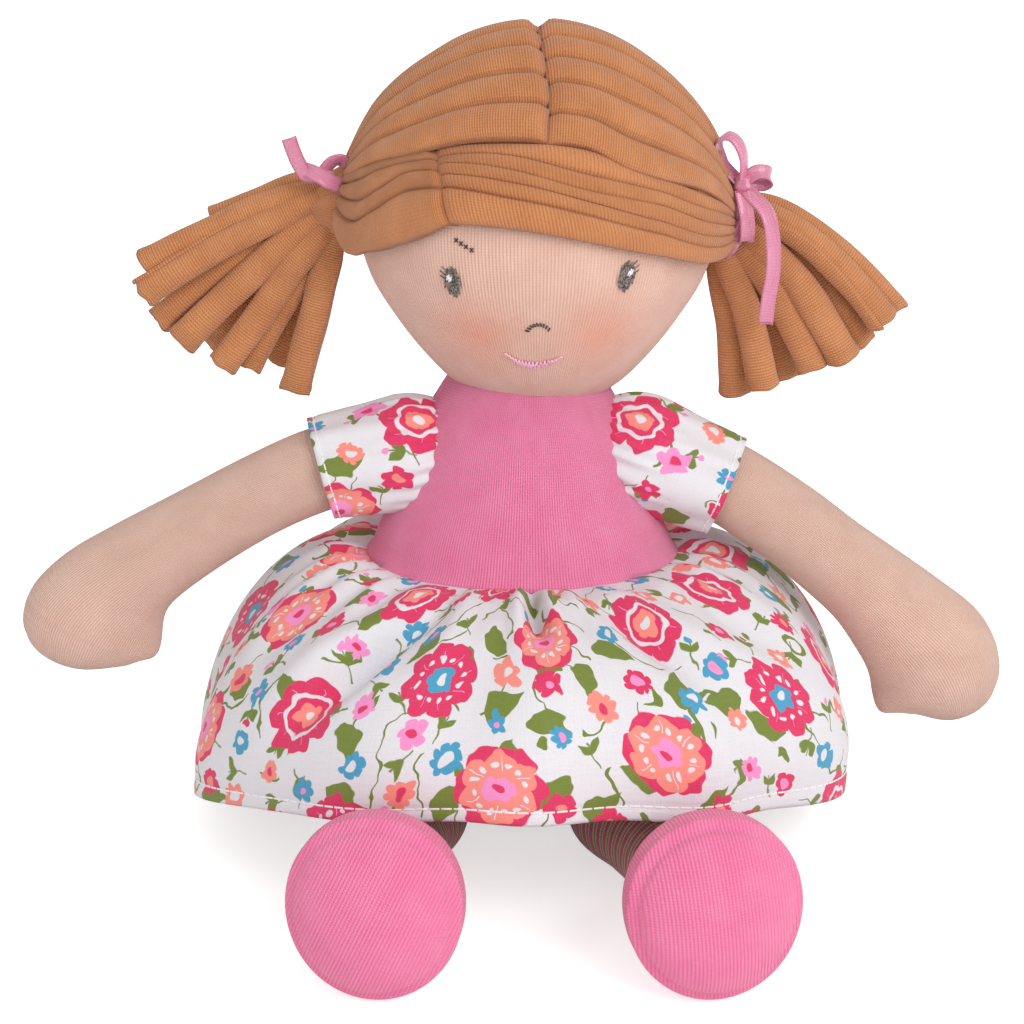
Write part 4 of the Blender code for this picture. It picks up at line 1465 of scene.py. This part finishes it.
def read_table(table, at):
    """The numbers of a table at a place between its lines."""
    index = 0
    while index < len(table) - 2 and at > table[index + 1][0]:
        index += 1
    low, high = table[index][0], table[index + 1][0]
    place = index + max(0.0, min(1.0, (at - low) / (high - low)))
    return [spline([line[column] for line in table], place) for column in range(1, len(table[0]))]


def cap_table(side):
    """Where the cap's strips meet, at each lap of its front edge."""
    near = cap_turns[side]
    rest = cap_strips[side] - len(near) + 1
    even = [near[-1] + (hair_back - near[-1]) * step / rest for step in range(1, rest + 1)]
    turns = [*near, *even]
    table = []
    for lap, front in cap_fronts[side]:
        pulls = [max(0, 1 - index / cap_front_reach) for index in range(len(turns))]
        moved = [turn + pull * (front - turns[0]) for turn, pull in zip(turns, pulls)]
        table.append((lap, *moved))
    return table


print("hair ends", round(last_lap, 1), "degrees from the parting")

# %% Rows of strips
def rolled(share):
    """The height of a rolled strip across its width, from 0 at its edges to 1."""
    return math.sqrt(max(0.0, 1 - abs(2 * share - 1) ** 2.4))


def hair_sheet(side, table, start_at, edge_drop, lower, seed):
    """A row of strips over the head, through a table, from a start for each turn."""
    count = len(table[0]) - 2

    def place(u, v):
        strip = min(count - 1, int(u * count))
        share = u * count - strip
        first = read_table(table, table[0][0])
        start = start_at(first[strip] + (first[strip + 1] - first[strip]) * share)
        lap = start + (last_lap - start) * v
        turns = read_table(table, lap)
        sway = 0.4 * uneven((strip * 3.1, v * 2.2, seed), 1.0) * math.sin(math.pi * v)
        turn = turns[strip] + (turns[strip + 1] - turns[strip]) * share + sway
        narrow = max(roll_least, math.cos(math.radians(lap)))
        width = math.radians(abs(turns[strip + 1] - turns[strip])) * head_width / 2 * narrow
        roll = width * roll_share * rolled(share)
        roll += 0.3 * mm * uneven((strip * 5.3, v * 3, seed + 2), 1.0)
        edge = smooth_step(lap, start, start + 4)
        lift = hair_base + roll * (0.5 + 0.5 * edge) - (1 - edge) * edge_drop
        swell_side = side if lap > 0 else other_side[side]
        lift += hair_swell[swell_side] * smooth_step(abs(lap), 30, 68)
        return on_head(hair_direction(side, lap, turn), lift - lower(lap, turn))

    return place


def strips_grid(place, count):
    """The grid of a row of strips. Its UV runs along and across each strip."""
    bm = bmesh.new()
    bmesh.ops.create_grid(bm, x_segments=count * strip_columns, y_segments=hair_rows, size=0.5)
    shares = {vert: (vert.co.x + 0.5, vert.co.y + 0.5) for vert in bm.verts}
    for vert, (u, v) in shares.items():
        vert.co = place(min(u, 1 - 1e-6), v)
    cloth = bm.loops.layers.uv.new("cloth")
    girth = math.pi / 2 * head_width / 2 / mm
    for face in bm.faces:
        for loop in face.loops:
            u, v = shares[loop.vert]
            loop[cloth].uv = (v * girth, u * count * hair_strip)
    turn_outward(bm, head_middle)
    return bm


def same_level(lap, turn):
    return 0


print("a strip is", strip_columns, "columns wide")

# %% The caps
parting_drop = 0.9 * mm


def cap_start(side):
    def start_at(turn):
        return read_table(parting_line, turn)[0] * sides[side] - 0.3

    return start_at


def add_strips(name, side, place, count, node):
    """A row of strips as a piece of jersey that stands for a node."""
    form = strips_grid(place, count)
    strips = piece(name + side, form, hair_jersey, "head", [node + side])
    thicken(strips, hair_cloth)


cap_tables = {side: cap_table(side) for side in sides}
for side in sides:
    seed = 1.5 + sides[side]
    start = cap_start(side)
    cap_place = hair_sheet(side, cap_tables[side], start, parting_drop, same_level, seed)
    add_strips("hair_strips_", side, cap_place, cap_strips[side], "hair_")

# %% [markdown]
# Below the caps, a fringe of narrower strips starts at a second parting, over the doll's
# right temple, and sweeps to both ties. Its upper strips go under the caps, so they are
# sunk there.

# %% The fringes
fringe_tables = {
    "left": (
        (30, 58, 63.8, 69.0, 75.5, 89.5),
        (47, 60, 66, 71.2, 80.2, 104.4),
        (59, 62, 70, 82.2, 94.1, 119),
        (67, 64, 75, 92, 108, 138),
        (79, 60, 80, 100, 122, 150),
    ),
    "right": (
        (-30, 50, 53.5, 57.3, 60.5, 64.5, 69.3, 82.6),
        (-11.5, 50, 56, 60.3, 64.8, 68.8, 73.9, 84.1),
        (14, 50, 58, 66.5, 71.4, 75.0, 79.5, 88.4),
        (41.5, 56, 63, 70, 75.3, 81.8, 86.8, 95.9),
        (57, 58, 66, 74, 81, 88.5, 94.5, 104.6),
        (79, 55, 65, 75, 85, 95, 105, 118),
    ),
}
fringe_starts = {"left": (28.3, 89, 0.29), "right": (-30.5, 82.6, -0.2)}
fringe_drop = 1.5 * mm
fringe_sink = 1.1 * mm


def fringe_start(side):
    lap, low, slope = fringe_starts[side]

    def start_at(turn):
        return lap + (low - turn) * slope

    return start_at


def under_cap(side):
    """How far a strip is sunk where it goes under the cap."""

    def lower(lap, turn):
        front = read_table(cap_tables[side], max(0, lap))[0]
        near = max(0.35, math.cos(math.radians(lap)))
        return fringe_sink * near * (1 - smooth_step(turn, front - 3, front + 4))

    return lower


for side in sides:
    table = fringe_tables[side]
    seed = 6.5 + sides[side]
    start = fringe_start(side)
    fringe_place = hair_sheet(side, table, start, fringe_drop, under_cap(side), seed)
    add_strips("fringe_strips_", side, fringe_place, len(table[0]) - 2, "fringe_")

# %% [markdown]
# Beyond the ribbon, every strand is a cut strip of jersey. Jersey curls when it is cut, so
# each strip has rolled up into a tube, and at its ragged end one can look into the roll. A
# grid makes it: its columns follow a spiral, its rows the strand's path, and the last row
# is torn a little. The tips were placed strand by strand, from the photograph.

# %% The pigtails
root_middles = {
    "left": Vector((-39.6, 27.5, 134.0)) * mm,
    "right": Vector((45.7, 27.5, 130.5)) * mm,
}
root_outwards = {"left": Vector((-0.96, 0, -0.27)), "right": Vector((0.87, 0.09, -0.48))}
root_spread = 5.0 * mm
strand_tips = {
    "left": (
        (-81.6, 24, 121.4, 6.2),
        (-81.6, 21, 115.6, 6.4),
        (-78.7, 26, 106.9, 6.2),
        (-73.9, 22, 103.9, 6.6),
        (-65.1, 21, 98.7, 6.6),
        (-59.4, 25, 96.9, 5.8),
        (-48.8, 22, 92.3, 6.8),
        (-67.3, 34, 97.6, 6.0),
        (-53.7, 34, 94.4, 5.8),
        (-66.0, 30, 129.3, 5.8),
        (-75.0, 33, 111.0, 5.8),
        (-60.0, 35, 106.0, 5.8),
    ),
    "right": (
        (47.8, 27, 89.6, 6.4),
        (53.7, 21, 93.4, 6.6),
        (58.8, 28, 92.6, 6.2),
        (64.7, 22, 97.6, 6.4),
        (71.3, 21, 99.9, 7.0),
        (75.7, 27, 101.3, 6.2),
        (80.2, 23, 107.8, 6.6),
        (82.8, 28, 108.6, 5.8),
        (50.5, 33, 90.0, 5.8),
        (61.0, 34, 91.5, 5.8),
        (68.0, 34, 95.0, 5.8),
        (77.0, 34, 104.0, 5.8),
    ),
}
strand_rises = {"left": (2, 9), "right": (6, 25)}
strand_backs = {"left": -0.4 * mm, "right": 1.5 * mm}
strand_rows = 34
strand_columns = 30
strand_cloth = 0.75 * mm
strand_turns = 1.22
strand_wander = 0.9 * mm


def strand_path(side, tip):
    """Points from the tie to a strand's tip. The upper strands leave it more level."""
    outward = root_outwards[side].normalized()
    high = y_axis.cross(outward).normalized() * -sides[side]
    aim = (tip - root_middles[side]).normalized()
    level = max(-1, min(1, 1 + 2.25 * aim.dot(high)))
    root = root_middles[side] + high * level * root_spread + y_axis * (tip.y - 27 * mm) * 0.45
    root -= outward * strand_backs[side]
    low, top = strand_rises[side]
    rise = math.radians(low + (top - low) * (level + 1) / 2)
    reach = tip - root
    straight = reach.normalized()
    raised = (z_axis - straight * straight.z).normalized()
    start = straight * math.cos(rise) + raised * math.sin(rise)
    return root, root + start * reach.length * 0.42, tip


def strand_grid(side, index, tip, width):
    """One rolled strip from the tie to its tip, as an open sheet."""
    root, control, tip = strand_path(side, tip)
    seed = index * 1.7 + sides[side] * 31

    def middle(v):
        bend = root.lerp(control, v).lerp(control.lerp(tip, v), v)
        wander = Vector([uneven((v * 2, seed, axis), 1.0) for axis in (1, 5, 9)])
        return bend + wander * strand_wander * math.sin(math.pi * v)

    def place(u, v):
        torn = 1 - 0.022 * (1 + uneven((u * 7, seed, 3), 1.0)) * smooth_step(v, 0.9, 1)
        at = v * torn
        along = (middle(at + 0.02) - middle(at - 0.02)).normalized()
        across = along.cross(y_axis).normalized()
        deep = across.cross(along)
        twist = seed + 0.7 * uneven((v * 1.5, seed, 7), 1.0)
        turn = u * math.tau * strand_turns + twist
        grow = 0.66 + 0.34 * smooth_step(v, 0.0, 0.24)
        radius = width * mm / 2 * grow * (0.74 + 0.26 * min(1, u * 1.7))
        radius *= 1 + 0.08 * uneven((u * 3, v * 4, seed), 1.0)
        flare = 1 + 0.08 * smooth_step(v, 0.9, 1)
        spoke = across * math.cos(turn) * 1.06 + deep * math.sin(turn) * 0.88
        return middle(at) + spoke * radius * flare

    bm = bmesh.new()
    bmesh.ops.create_grid(bm, x_segments=strand_columns, y_segments=strand_rows, size=0.5)
    cloth = bm.loops.layers.uv.new("cloth")
    length = (tip - root).length / mm
    for face in bm.faces:
        for loop in face.loops:
            u, v = loop.vert.co.x + 0.5, loop.vert.co.y + 0.5
            loop[cloth].uv = (v * length + seed, u * width * math.pi * strand_turns)
    for vert in bm.verts:
        vert.co = place(vert.co.x + 0.5, vert.co.y + 0.5)
    outward = 0
    for face in bm.faces:
        face.normal_update()
        centre = face.calc_center_median()
        foot = min((middle(step / 12) for step in range(13)), key=lambda spot: (spot - centre).length)
        outward += face.normal.dot(centre - foot)
    if outward < 0:
        bmesh.ops.reverse_faces(bm, faces=bm.faces)
    return bm


def join_forms(forms):
    """Several bmeshes as one."""
    whole = bmesh.new()
    for form in forms:
        holder = bpy.data.meshes.new("holder")
        form.to_mesh(holder)
        form.free()
        whole.from_mesh(holder)
        bpy.data.meshes.remove(holder)
    return whole


for side in sides:
    strands = [
        strand_grid(side, index, Vector((x, y, z)) * mm, width)
        for index, (x, y, z, width) in enumerate(strand_tips[side])
    ]
    name, body = "pigtail_strands_" + side, "pigtail_" + side
    pigtail = piece(name, join_forms(strands), strand_jersey, body, [body])
    thicken(pigtail, strand_cloth)

# %% [markdown]
# Where the strips meet, they are squeezed into a ribbed root under the ribbon. A stuffed
# form whose radius waves round it stands for those folds.

# %% The tied roots
root_folds = 11
root_fold_share = 0.1


def root_form(side):
    inner, outer = tie_point(side, -4 * mm), root_middles[side]
    outward = (outer - inner).normalized()
    spans = ((-0.8, 0.0), (-0.4, 9.0), (0.2, 8.4), (0.7, 7.4), (1.1, 6.4), (1.4, 4.6), (1.6, 0.0))
    sections = [(inner.lerp(outer, share), wide * mm, wide * mm) for share, wide in spans]
    bm = stuffed(sections, y_axis, 132, 40)
    for vert in bm.verts:
        away = vert.co - inner
        spoke = away - outward * away.dot(outward)
        turn = math.atan2(spoke.z, spoke.y)
        vert.co += spoke * root_fold_share * (abs(math.cos(turn * root_folds / 2 + 0.4)) - 0.7)
    return bm


for side in sides:
    piece("pigtail_root_" + side, root_form(side), strand_jersey, "head")

# %% [markdown]
# Satin ribbon has long smooth threads on its face, so it shines in streaks across its
# width; these are painted sheen, lighter and darker streaks in its colour. The bands are
# wound twice round each root. The bows are strips along curves that turn on themselves,
# with Solidify for their thin cloth.

# %% Ribbon
satin_rib = 0.32
selvedge_from = 1.25


def satin_material():
    made, tree, shader = new_material("ribbon_satin", 0.3, 0.2)
    shader.inputs["Specular IOR Level"].default_value = 0.7
    shader.inputs["Coat Weight"].default_value = 0.8
    shader.inputs["Coat Roughness"].default_value = 0.14
    across, along = cloth_place(tree)
    sheen_streaks = speckle(across * 6, along * 0.5, 3)
    rib = calc("SINE", along * (math.tau / satin_rib))
    selvedge = (abs(across) > selvedge_from) * 0.4
    # Painted sheen: the colour is lighter and darker in streaks along the ribbon.
    colour = mix_colour(sheen_streaks, srgb(204, 98, 136), srgb(232, 148, 180))
    colour = mix_colour(selvedge, colour, srgb(196, 90, 130))
    dress(shader, colour, rib * 0.3 + sheen_streaks, 0.12)
    return made


satin = satin_material()
ribbon_width = 3.1 * mm
ribbon_cloth = 0.3 * mm
band_radii = {"left": 6.3 * mm, "right": 8.5 * mm}
band_widths = {"left": 1.7 * mm, "right": 2.6 * mm}
band_outs = {"left": -2.6 * mm, "right": 0.0}


def ribbon_grid(points, wides, width=ribbon_width):
    """A ribbon along points, with the direction of its width at each of them."""
    rows = (len(points) - 1) * 6
    bm = bmesh.new()
    bmesh.ops.create_grid(bm, x_segments=6, y_segments=rows, size=0.5)
    cloth = bm.loops.layers.uv.new("cloth")
    for face in bm.faces:
        for loop in face.loops:
            u, v = loop.vert.co.x, loop.vert.co.y + 0.5
            loop[cloth].uv = (u * width / mm, v * rows * 0.5)
    for vert in bm.verts:
        place = (vert.co.y + 0.5) * (len(points) - 1)
        centre, wide = spline(points, place), spline(wides, place).normalized()
        along = (spline(points, place + 0.05) - spline(points, place - 0.05)).normalized()
        hollow = along.cross(wide) * (vert.co.x**2 - 0.12) * width * 0.5
        vert.co = centre + wide * vert.co.x * width + hollow
    return bm


def band_form(side):
    """Two turns of ribbon round the root, one lying slightly over the other."""
    outward = root_outwards[side].normalized()
    centre = root_middles[side] + outward * band_outs[side]
    high = y_axis.cross(outward).normalized() * -sides[side]
    front = high.cross(outward).normalized() * sides[side]
    radius = band_radii[side]
    forms = []
    for slope, shift, grow in ((0.03, -0.3 * mm, 0.0), (-0.04, 0.3 * mm, 0.35 * mm)):
        points, wides = [], []
        for step in range(25):
            turn = step / 24 * math.tau
            spoke = front * math.cos(turn) + high * math.sin(turn)
            pucker = 0.2 * mm * math.cos(9 * turn)
            lean = math.sin(turn) * slope * radius * 2 + shift
            points.append(centre + spoke * (radius + grow + pucker) + outward * lean)
            wides.append(outward)
        forms.append(ribbon_grid(points, wides, band_widths[side]))
    return join_forms(forms)


for side in sides:
    nodes = ["ribbon_band_" + side]
    band = piece("ribbon_turns_" + side, band_form(side), satin, "head", nodes)
    thicken(band, ribbon_cloth, 0)

# %% The bows
knot_middles = {
    "left": Vector((-41.4, 21.5, 142.4)) * mm,
    "right": Vector((47.6, 21.5, 140.4)) * mm,
}
knot_sizes = {"left": (5.2 * mm, 3.0 * mm), "right": (3.6 * mm, 4.2 * mm)}
bow_runs = {
    "left": (
        ((0, 0.1, 1), (1, 0.1, 0.3), (
            (0, 0, 0), (-3.2, -0.6, 0.4), (-4.8, -0.9, 3.0), (-6.0, -0.8, 6.0),
            (-6.8, -0.6, 8.6),
        )),
        ((0.45, 0.2, 1), (0.3, 0.2, 1), (
            (-3.6, -0.4, 1.6), (-1.4, -1.6, 1.2), (1.4, -1.6, -0.6), (4.2, -0.4, -2.0),
            (5.6, 1.0, -2.6),
        )),
        ((0.8, 0.3, -0.6), (-0.6, 0.3, -0.8), (
            (0.2, 0.4, 0.6), (1.8, 1.4, 2.4), (3.8, 2.2, 2.8), (5.2, 2.6, 1.4),
        )),
    ),
    "right": (
        ((0.7, 0.1, 0.7), (1, 0, -0.1), (
            (0, -0.6, 0), (1.8, -2.0, -1.5), (4.9, -4.5, -4.6), (6.2, -6.0, -9.7),
            (6.5, -6.8, -16.6), (5.7, -7.0, -23.0), (5.3, -7.0, -28.8),
        )),
        ((0.5, 0.75, 0.35), (0.5, 0.75, 0.35), (
            (0, 0, 0.6), (0.2, -0.5, 5.6), (-1.2, 0, 9.4), (-3.5, 0.8, 10.8),
            (-5.4, 1.2, 9.0), (-4.4, 1.2, 4.6), (-0.8, 0.6, 0.6),
        )),
        ((0, 0.55, 0.85), (0, 0.55, 0.85), (
            (0, 0, 0.8), (2.6, -0.4, 3.0), (5.2, 0.2, 2.7), (6.0, 1.2, 0.8),
            (4.4, 2.0, -0.4), (0.8, 1.8, 0.0),
        )),
        ((1, 0, 0.1), (1, 0, 0.1), (
            (-0.4, -1.0, -0.6), (0.6, -3.4, -4.6), (1.0, -4.2, -8.6), (0.8, -3.4, -11.4),
            (0.2, -1.8, -10.6), (-0.6, -1.2, -6.0), (-0.8, -0.4, -1.0),
        )),
    ),
}


def bow_form(side):
    middle = knot_middles[side]
    forms = []
    for first, last, run in bow_runs[side]:
        points = [middle + Vector(spot) * mm for spot in run]
        wides = []
        for index in range(len(points)):
            following = points[min(index + 1, len(points) - 1)]
            ahead = (following - points[max(index - 1, 0)]).normalized()
            wide = Vector(first).lerp(Vector(last), index / (len(points) - 1))
            wides.append((wide - ahead * wide.dot(ahead)).normalized())
        forms.append(ribbon_grid(points, wides))
    return join_forms(forms)


def knot_form(side):
    """The knot: a small rounded box that the ribbon's folds cross."""
    middle = knot_middles[side]
    wide, high = knot_sizes[side]
    spans = ((-0.52, 0, 0), (-0.4, 0.84, 0.8), (0.0, 0.94, 0.9), (0.4, 0.84, 0.8), (0.52, 0, 0))
    sections = [
        (middle + x_axis * out * wide, tall * high / 2, deep * high / 2)
        for out, tall, deep in spans
    ]
    bm = stuffed(sections, y_axis, 28, 20)
    for vert in bm.verts:
        vert.co += (vert.co - middle) * 0.08 * math.cos((vert.co.z - middle.z) / mm * 3.2)
    return bm


for side in sides:
    bow = piece("bow_strips_" + side, bow_form(side), satin, "head", ["bow_" + side])
    thicken(bow, ribbon_cloth, 0)
    piece("bow_knot_" + side, knot_form(side), satin, "head")

# %% [markdown]
# The face is embroidered. An eye is a cluster of short crossing stitches in a mottled
# grey-brown thread, with a few white ones for the glint and three small lashes. Each stitch
# has its place by a turn of the golden angle, which fills the oval evenly. The brow is four
# tiny stitches, the nose an arch of nine, and the mouth a band of zigzag satin stitch.

# %% The eyes
eye_thread = thread_material("eye_thread", srgb(160, 148, 140), srgb(40, 26, 22), 0.5, 3.4)
dark_thread = thread_material("dark_thread", srgb(96, 80, 72), srgb(40, 32, 30))
lip_thread = thread_material("pink_thread", srgb(255, 222, 238), srgb(228, 128, 170), 0.35, 2.0)
eye_width = 3.9 * mm
eye_height = 6.7 * mm
eye_places = {"left": (-30.8, -13.4), "right": (31.2, -11.4)}
eye_stitches = 60
eye_stitch_half = 0.62
golden_turn = math.radians(137.5)
face_lift = 0.15 * mm
lash_runs = (((1.8, 0.7), (2.8, 1.3)), ((1.7, 1.6), (2.7, 2.4)), ((1.3, 2.5), (2.1, 3.3)))
glint_spots = ((0.1, 0.5), (0.5, 0.9), (0.9, 0.7), (0.5, 0.3))


def face_spot(azimuth, elevation, aside=0.0, above=0.0, lift=face_lift):
    """A point on the face, some millimetres aside and above a direction."""
    middle = on_head(face_direction(azimuth, elevation), 0)
    out = face_direction(azimuth, elevation)
    across = body_up.cross(out).normalized()
    high = out.cross(across)
    spot = middle + (across * aside + high * above) * mm
    return on_head((spot - head_middle).normalized(), lift)


def sew(bm, spots, thick):
    for start, end in zip(spots, spots[1:]):
        add_stitch(bm, start, end, thick)


def eye_form(side):
    azimuth, elevation = eye_places[side]
    bm = bmesh.new()
    for index in range(eye_stitches):
        reach = 0.88 * math.sqrt((index + 0.5) / eye_stitches)
        turn = index * golden_turn
        aside = reach * math.cos(turn) * eye_width / 2 / mm
        above = reach * math.sin(turn) * eye_height / 2 / mm
        lean = math.radians(90 + 60 * uneven((index * 1.7, sides[side], 2), 1.0))
        side_step, up_step = math.cos(lean) * eye_stitch_half, math.sin(lean) * eye_stitch_half
        lift = (0.16 + 0.12 * (index % 4)) * mm
        start = face_spot(azimuth, elevation, aside - side_step, above - up_step, lift)
        end = face_spot(azimuth, elevation, aside + side_step, above + up_step, lift)
        sew(bm, [start, end], 0.36 * mm)
    for (out, low), (far, high) in lash_runs:
        start = face_spot(azimuth, elevation, out * sides[side], low)
        end = face_spot(azimuth, elevation, far * sides[side], high)
        sew(bm, [start, end], 0.24 * mm)
    return bm


def glint_form(side):
    azimuth, elevation = eye_places[side]
    bm = bmesh.new()
    for out, above in glint_spots:
        sew(bm, [
            face_spot(azimuth, elevation, out * sides[side] - 0.1, above, 0.62 * mm),
            face_spot(azimuth, elevation, out * sides[side] + 0.1, above + 0.8, 0.62 * mm),
        ], 0.36 * mm)
    return bm


for side in sides:
    piece("eye_stitches_" + side, eye_form(side), eye_thread, "head", ["eye_" + side])
    piece("eye_glint_" + side, glint_form(side), white_thread, "head")

# %% Eyebrow, nose and mouth
brow_spots = ((-28.2, 1.2), (-26.5, 0.2), (-24.8, -0.8), (-22.8, -1.8))
nose_spots = (
    (-4.7, -33.0), (-3.7, -31.7), (-2.5, -30.7), (-1.2, -30.2),
    (0.3, -30.1), (1.7, -30.4), (3.0, -31.2), (4.3, -32.3),
)
nose_stitches = 9
mouth_spots = ((-16.0, -43.2), (-10.0, -47.5), (-2.8, -49.1), (5.6, -47.7), (11.3, -44.8))
mouth_stitches = 17
mouth_wide = 1.8


def brow_form():
    bm = bmesh.new()
    for azimuth, elevation in brow_spots:
        for slant in (-0.3, 0.3):
            low = face_spot(azimuth, elevation, -slant, -0.32)
            high = face_spot(azimuth, elevation, slant, 0.32)
            sew(bm, [low, high], 0.34 * mm)
    return bm


def nose_form():
    """Short stitches along the arch, each square to it, with gaps between them."""
    bm = bmesh.new()
    path = [Vector(spot) for spot in nose_spots]
    last = len(path) - 1
    for index in range(nose_stitches):
        place = last * index / (nose_stitches - 1)
        azimuth, elevation = spline(path, place)
        along = spline(path, min(last, place + 0.2)) - spline(path, max(0, place - 0.2))
        square = Vector((-along.y, along.x)).normalized() * 0.3
        slant = along.normalized() * 0.12
        low = face_spot(azimuth, elevation, slant.x - square.x, slant.y - square.y)
        high = face_spot(azimuth, elevation, square.x - slant.x, square.y - slant.y)
        sew(bm, [low, high], 0.42 * mm)
    return bm


def mouth_form():
    """Zigzag stitches along the smile, a single thread at its ends, wider in the middle."""
    bm = bmesh.new()
    path = [Vector(spot) for spot in mouth_spots]
    spots = []
    for index in range(mouth_stitches * 2 + 1):
        share = index / mouth_stitches / 2
        azimuth, elevation = spline(path, share * (len(path) - 1))
        half = mouth_wide / 2 * max(0.16, math.sin(math.pi * min(1, share * 0.94 + 0.05)) ** 1.4)
        swing = half if index % 2 else -half
        spots.append(face_spot(azimuth, elevation, 0, swing, 0.28 * mm))
    sew(bm, spots, 0.42 * mm)
    return bm


piece("brow_stitches", brow_form(), dark_thread, "head", ["brow"])
piece("nose_stitches", nose_form(), dark_thread, "head", ["nose"])
piece("mouth_stitches", mouth_form(), lip_thread, "head", ["mouth"])
